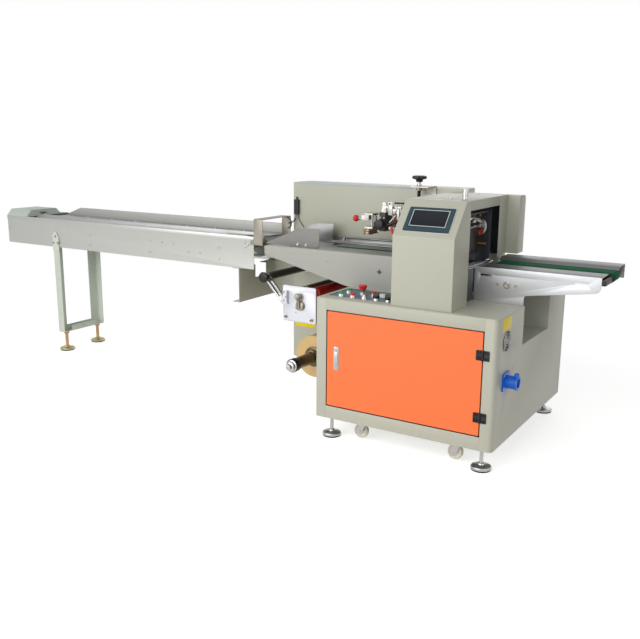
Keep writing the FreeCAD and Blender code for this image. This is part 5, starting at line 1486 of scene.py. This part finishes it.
@dataclass
class FilmFeed(SubAssembly):
    """Film reel, draw rollers and their bracket."""

    reel_x: float = -1051.0
    reel_z: float = 265.0
    clamp_y: float = 327.0
    clamp: tuple[Pair, ...] = ((30.0, 0.0), (46.0, 0.0), (47.0, 2.0), (44.0, 5.0), (30.0, 6.0))
    nose_y: Pair = (0.0, 124.0)
    sleeve_y: Pair = (124.0, 166.0)
    bracket_y: float = 262.0
    behind_y: Pair = (275.0, 700.0)
    bracket_top: float = 625.0
    cap_screws: tuple[Pair, ...] = ((-1176.0, 468.0), (-1026.0, 466.0))
    cap_head: float = 15.0
    small_screws: tuple[Pair, ...] = ((-1117.0, 516.0), (-1117.0, 495.0))
    small_head: float = 7.5
    slider_nuts: tuple[Pair, ...] = ((-1184.0, 590.0), (-1174.0, 566.0), (-1184.0, 548.0))
    slider_nut_across: float = 7.0
    edge_nuts: Pair = (-1079.0, -1058.0)
    edge_nut_across: float = 8.0
    nut_inset: float = 6.0
    slot_half: float = 1.8
    slot_rise: float = 0.8
    slot_insets: Pair = (9.0, 11.0)

    def dress(self) -> None:
        """Dresses the reel, rollers, bracket, arm and lever."""
        centre = at(self.reel_x, 0, self.reel_z)
        dress_plain(WoundFilm("wound_film", centre.x, centre.z), 0.8, "film_roll")
        DressedNode("film_shaft", Finishes.bronze, 0.5,
                    [(Finishes.dark_steel, span(y=self.sleeve_y)),
                     (Finishes.polished, span(y=self.nose_y))]).build()
        DressedNode("roller_bracket", Finishes.pale, 0.8,
                    [(Finishes.machined, span(y=self.behind_y))]).build()
        journal = span(y=(0.0, self.bracket_y + 0.5))
        DressedNode("draw_roller", Finishes.red_rubber, 0.5, [(Finishes.pale, journal)]).build()
        dress_plain(Finishes.dark_rubber, 0.5, "nip_roller", "guide_roller")
        dress_plain(Finishes.polished, 0.5, "swing_arm")
        dress_plain(Finishes.knob, 0.8, "arm_knob")
        dress_plain(Finishes.lever, 0.5, "nip_lever")

    def add_fittings(self) -> None:
        """Adds the bracket's screws and nuts, the lever's slot and the core's clamping ring."""
        screws = Piece("bracket_screws", Finishes.lever)
        y = self.bracket_y
        for x, z in self.cap_screws:
            screws.socket_screw(at(x, y, z), FRONT, self.cap_head)
        for x, z in self.small_screws:
            screws.pan_screw(at(x, y, z), FRONT, self.small_head)
        for x, z in self.slider_nuts:
            screws.hex_bolt(at(x, y - self.nut_inset, z), FRONT, self.slider_nut_across, False)
        for x in self.edge_nuts:
            screws.hex_bolt(at(x, y + self.nut_inset, self.bracket_top), UP,
                            self.edge_nut_across, False)
        screws.finish(MACHINE)
        low, high = ((corner - DATUM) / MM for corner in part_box("nip_lever"))
        middle = (low.x + high.x) / 2
        bottom, top = low.z + self.slot_insets[0], high.z - self.slot_insets[1]
        slot = Piece("lever_pointer", Finishes.black)
        slot.block(at(middle - self.slot_half, low.y - self.slot_rise, bottom),
                   at(middle + self.slot_half, low.y, top), 0.4)
        slot.finish("nip_lever_body")
        ring = Piece("core_clamp_ring", Finishes.plated)
        ring.turned(self.clamp, at(self.reel_x, self.clamp_y, self.reel_z), FRONT, 48)
        ring.finish("film_reel")


@dataclass
class Outfeed(SubAssembly):
    """Outfeed conveyor."""

    plate_y: float = 317.0
    # flange_depths and flange_heights bound the top flange that carries the painted shade.
    flange_depths: Pair = (319.0, 500.0)
    flange_heights: Pair = (794.0, 799.0)
    screws: tuple[Pair, ...] = ((-157.0, 764.0), (-123.5, 729.0), (-44.8, 728.6))
    screw_head: float = 13.0
    hub: Pair = (-82.5, 729.0)
    hub_cap: tuple[Pair, ...] = ((15.0, 0.0), (15.0, 3.0), (12.0, 4.5), (12.0, 3.5), (0.0, 3.5))
    hub_bolt_seat: float = 3.5

    def dress(self) -> None:
        """Dresses the outfeed's sheets and frame, with the darker guard finish on the front plate's
        top flange as painted shade.
        """
        # Painted shade: the front plate's top flange takes the darker guard finish.
        shaded_flange = span(y=self.flange_depths, z=self.flange_heights)
        DressedNode("outfeed_front_plate", Finishes.bright, 0.5, [(Finishes.guard, shaded_flange)]).build()
        dress_plain(Finishes.guard, 0.4, "outfeed_rear_guard")
        dress_plain(Finishes.dark_steel, 0.4, "outfeed_frame")

    def add_fittings(self) -> None:
        """Adds the plate's screws and the roller's hub."""
        piece = Piece("outfeed_bolts", Finishes.lever)
        for x, z in self.screws:
            piece.socket_screw(at(x, self.plate_y, z), FRONT, self.screw_head)
        x, z = self.hub
        piece.turned(self.hub_cap, at(x, self.plate_y, z), FRONT, 32)
        piece.hex_bolt(at(x, self.plate_y - self.hub_bolt_seat, z), FRONT, self.screw_head)
        piece.finish(MACHINE)


@dataclass
class Infeed(SubAssembly):
    """Infeed conveyor with its stand."""

    plate_y: float = 375.0
    screws: tuple[Pair, ...] = (
        (-3389.0, 750.0), (-2659.0, 755.0), (-2661.0, 694.0), (-2177.0, 758.0), (-2179.0, 693.0),
        (-2088.0, 755.0), (-2003.0, 754.0), (-1898.0, 715.0), (-1814.0, 716.0), (-1684.0, 757.0),
        (-1685.0, 696.0), (-1509.0, 796.0), (-1490.0, 785.0), (-1506.0, 774.0))
    screw_head: float = 13.0
    tab_y: float = 371.0
    tab_bolts: tuple[Pair, ...] = ((-2957.0, 724.0), (-2977.0, 685.0), (-2938.0, 686.0))
    tab_bolt_across: float = 10.0
    rear_rail_depths: Pair = (660.0, 760.0)
    rear_rail_heights: Pair = (800.0, 900.0)
    lap_plate: Quad = (-1645.0, -1500.0, 376.0, 428.0)
    lap_sheet: float = 2.0
    top_z: float = 830.0
    cover: Pair = (-3403.0, -3213.0)
    cover_outline: tuple[Pair, ...] = ((375.0, 830.0), (411.0, 868.0), (606.0, 868.0),
                                       (642.0, 832.0), (702.0, 832.0))
    cover_sheet: float = 2.0
    end_wall: tuple[Pair, Pair] = ((378.0, 700.0), (699.0, 832.0))
    window: Place = (477.0, 529.0, 853.0)

    def dress(self) -> None:
        """Dresses the infeed's plates, deck, chain, guides and stand."""
        dress_plain(Finishes.sheet, 0.5, "infeed_side_plates")
        dress_plain(Finishes.deck, 0.3, "infeed_deck")
        dress_plain(Finishes.machined, 0.4, "infeed_chain")
        rear = span(y=self.rear_rail_depths, z=self.rear_rail_heights)
        DressedNode("infeed_guides", Finishes.deck, 0.3, [(Finishes.rail, rear)]).build()
        dress_plain(Finishes.stand, 0.8, "infeed_stand")
        dress_plain(Finishes.across, 0.4, "sensor_gantry")
        dress_plain(Finishes.black, 0.5, "sensor_amplifier")
        self._build_cover()

    def _build_cover(self) -> None:
        """Builds the folded end cover with the window that the pusher lugs pass."""
        x0, x1 = self.cover
        t = self.cover_sheet
        cover = Piece("infeed_cover_sheet", Finishes.cover)
        for (y0, z0), (y1, z1) in zip(self.cover_outline, self.cover_outline[1:]):
            run = Vector((0, y1 - y0, z1 - z0)).normalized()
            inward = Vector((0, run.z, -run.y)) * (t * MM)
            corners = [at(x0, y0, z0), at(x0, y1, z1), at(x1, y1, z1), at(x1, y0, z0)]
            cover.slab(corners, inward, 0.3)
        (front, _), bend, rear_bend, (rear, _), _ = self.cover_outline
        low, top = self.top_z, bend[1]
        w0, w1, w_top = self.window
        for outline in ([(front, low), (w0, low), (w0, top), bend],
                        [(w1, low), (rear, low), rear_bend, (w1, top)],
                        [(w0, w_top), (w1, w_top), (w1, top), (w0, top)]):
            cover.slab([at(x1 - t, y, z) for y, z in outline], RIGHT * (t * MM))
        whole = [(front, low), (rear, low), rear_bend, bend]
        cover.slab([at(x0, y, z) for y, z in whole], RIGHT * (t * MM))
        low_corner, high_corner = self.end_wall
        cover.block(at(x0, *low_corner), at(x0 + t, *high_corner), 0.3)
        cover.finish(MACHINE, 32.0, "infeed_end_cover")

    def add_fittings(self) -> None:
        """Adds the side plate's screws, the stand's bolts and the lapped top plate."""
        piece = Piece("infeed_screws", Finishes.plated)
        for x, z in self.screws:
            piece.pan_screw(at(x, self.plate_y, z), FRONT, self.screw_head)
        for x, z in self.tab_bolts:
            piece.hex_bolt(at(x, self.tab_y, z), FRONT, self.tab_bolt_across)
        piece.finish(MACHINE)
        x0, x1, y0, y1 = self.lap_plate
        plate = Piece("infeed_lap_plate", Finishes.rail)
        plate.block(at(x0, y0, self.top_z), at(x1, y1, self.top_z + self.lap_sheet), 0.4)
        plate.finish(MACHINE)


@dataclass
class SensorLeads(SubAssembly):
    """Thin leads of the sensor amplifier, and the thicker loop at the gantry."""

    lead_r: float = 1.7
    loop_r: float = 3.6
    curve_steps: int = 4
    leads: tuple[tuple[Place, ...], ...] = (
        ((-1356, 622, 934), (-1357, 622, 916), (-1363, 620, 903), (-1373, 616, 894),
         (-1386, 612, 888), (-1396, 616, 884)),
        ((-1356, 618, 934), (-1352, 616, 918), (-1353, 612, 903), (-1362, 606, 892),
         (-1378, 604, 886), (-1396, 610, 882)),
        ((-1341, 622, 934), (-1340, 622, 918), (-1335, 622, 904), (-1326, 623, 889),
         (-1317, 625, 876), (-1311, 628, 868), (-1309, 630, 866)))
    loop: tuple[Place, ...] = (
        (-1396, 600, 914), (-1388, 600, 913), (-1379, 600, 906), (-1373, 600, 894),
        (-1373, 602, 880), (-1378, 604, 868), (-1387, 606, 860), (-1396, 608, 858))

    def add_fittings(self) -> None:
        """Adds the three thin leads under the amplifier and the loop at the gantry."""
        piece = Piece("sensor_leads", Finishes.black)
        for route, radius in (*((lead, self.lead_r) for lead in self.leads),
                              (self.loop, self.loop_r)):
            piece.tube(smooth([at(*point) for point in route], self.curve_steps), radius)
        piece.finish(MACHINE)


def smooth(points: Sequence[Vector], steps: int) -> list[Vector]:
    """Points along a smooth curve through the given points.

    Args:
        points: Points that the curve passes, in metres.
        steps: Points made for each stretch.

    Returns:
        The finer row of points.
    """
    made = []
    for k in range(len(points) - 1):
        before, start = points[max(k - 1, 0)], points[k]
        end, after = points[k + 1], points[min(k + 2, len(points) - 1)]
        for step in range(steps):
            t = step / steps
            made.append(0.5 * (2 * start + (end - before) * t
                               + (2 * before - 5 * start + 4 * end - after) * t ** 2
                               + (3 * start - before - 3 * end + after) * t ** 3))
    made.append(points[-1])
    return made


# --------------------------------------------------------------------------------------
# studio
# --------------------------------------------------------------------------------------

@dataclass(frozen=True)
class Softbox:
    """One square studio lamp: its place and aim in the datum, size in metres, power in watts."""

    name: str
    place: Place
    aim: Place
    size: float
    power: float


@dataclass
class Studio:
    """Plain white studio with soft lamps and the camera."""

    eye: Place = (1009.6, -2937.9, 1346.3)
    yaw: float = 31.84
    pitch: float = 13.0
    roll: float = 0.41
    lens: float = 45.16
    sensor: float = 36.0
    sight_end: float = 200.0
    floor_reach: float = 60.0
    floor_tone: float = 0.86
    floor_lift: float = 0.62
    fade: Pair = (2.6, 4.4)
    sky: float = 0.30
    lamps: Sequence[Softbox] = (
        Softbox("key", (-2200, -4300, 2300), (-1200, 300, 700), 6.0, 262.0),
        Softbox("fill", (3000, -1400, 1700), (-100, 400, 600), 2.4, 22.0),
        Softbox("rear", (-1500, 5000, 1500), (-1500, 400, 700), 4.0, 38.0))

    def build(self) -> None:
        """Builds floor, world, lamps and camera."""
        self._floor()
        self._world()
        for lamp in self.lamps:
            self._lamp(lamp)
        self._camera()
        bpy.context.scene.view_settings.view_transform = "Standard"

    def _white_to_eye(self, shade: Shade) -> Scalar:
        """Mask of the rays that see the background: direct, mirrored or passed through."""
        rays = shade.add("ShaderNodeLightPath", {}, {})
        camera, glossy, passed = (Scalar(shade, rays.outputs[name]) for name in BACKGROUND_RAYS)
        return camera + glossy + passed

    def _floor(self) -> None:
        """Lays the pale floor that keeps the machine's shadow."""
        shade = Shade("studio_floor")
        east, north = shade.axis(Axis.X), shade.axis(Axis.Y)
        radius = (east * east + north * north).root()
        far = radius.step(*self.fade)
        lift = self._white_to_eye(shade) * (far * (1.0 - self.floor_lift) + self.floor_lift)
        tone = shade.mix(far, (self.floor_tone,) * 3, (0.0, 0.0, 0.0))
        glow = shade.mix(lift, (0.0, 0.0, 0.0), (1.0, 1.0, 1.0))
        shade.dress(Base_Color=tone, Roughness=0.9, Specular_IOR_Level=0.0,
                    Emission_Color=glow, Emission_Strength=1.0)
        data = bpy.data.meshes.new("studio_floor")
        reach = self.floor_reach
        corners = [(-reach, -reach, 0), (reach, -reach, 0), (reach, reach, 0), (-reach, reach, 0)]
        data.from_pydata(corners, [], [(0, 1, 2, 3)])
        data.materials.append(shade.material)
        floor = bpy.data.objects.new("studio_floor", data)
        bpy.context.scene.collection.objects.link(floor)

    def _world(self) -> None:
        """Lights the room evenly, with a white background."""
        world = bpy.data.worlds.new("studio")
        bpy.context.scene.world = world
        world.use_nodes = True
        tree = world.node_tree
        background = tree.nodes["Background"]
        background.inputs["Color"].default_value = (1, 1, 1, 1)
        rays = tree.nodes.new("ShaderNodeLightPath")
        first, *others = BACKGROUND_RAYS
        seen = rays.outputs[first]
        for name in others:
            total = tree.nodes.new("ShaderNodeMath")
            total.operation = "ADD"
            tree.links.new(seen, total.inputs[0])
            tree.links.new(rays.outputs[name], total.inputs[1])
            seen = total.outputs[0]
        mix = tree.nodes.new("ShaderNodeMapRange")
        mix.inputs["To Min"].default_value = self.sky
        mix.inputs["To Max"].default_value = 1.0
        tree.links.new(seen, mix.inputs["Value"])
        tree.links.new(mix.outputs["Result"], background.inputs["Strength"])

    def _lamp(self, softbox: Softbox) -> None:
        """Hangs one soft lamp and aims it.

        Args:
            softbox: The lamp's place, aim, size and power.
        """
        data = bpy.data.lights.new(softbox.name, "AREA")
        data.size = softbox.size
        data.energy = softbox.power
        lamp = bpy.data.objects.new(softbox.name, data)
        bpy.context.scene.collection.objects.link(lamp)
        place, aim = at(*softbox.place), at(*softbox.aim)
        lamp.location = place
        lamp.rotation_euler = (aim - place).to_track_quat("-Z", "Y").to_euler()

    def _camera(self) -> None:
        """Sets the camera in front of the outfeed's side, a little above the machine."""
        data = bpy.data.cameras.new("camera")
        data.lens = self.lens
        data.sensor_width = self.sensor
        data.clip_end = self.sight_end
        camera = bpy.data.objects.new("camera", data)
        bpy.context.scene.collection.objects.link(camera)
        yaw, pitch = math.radians(self.yaw), math.radians(self.pitch)
        sight = Vector((-math.sin(yaw) * math.cos(pitch), math.cos(yaw) * math.cos(pitch),
                        -math.sin(pitch)))
        turn = sight.to_track_quat("-Z", "Y").to_matrix()
        roll = Matrix.Rotation(math.radians(self.roll), 3, "Z")
        camera.matrix_world = Matrix.Translation(at(*self.eye)) @ (turn @ roll).to_4x4()
        bpy.context.scene.camera = camera


def main() -> None:
    """Dresses every sub-assembly, adds the fittings and sets the studio."""
    logging.basicConfig(level=logging.INFO, format="%(message)s")
    for part in (Cabinet(), ControlPanel(), Housing(), OperatorStation(), Sealer(),
                 FormingTable(), FinSeal(), FilmFeed(), Outfeed(), Infeed(), SensorLeads()):
        LOG.info("sub-assembly: %s", type(part).__name__)
        part.dress()
        part.add_fittings()
    Studio().build()


if __name__ == "__main__":
    main()
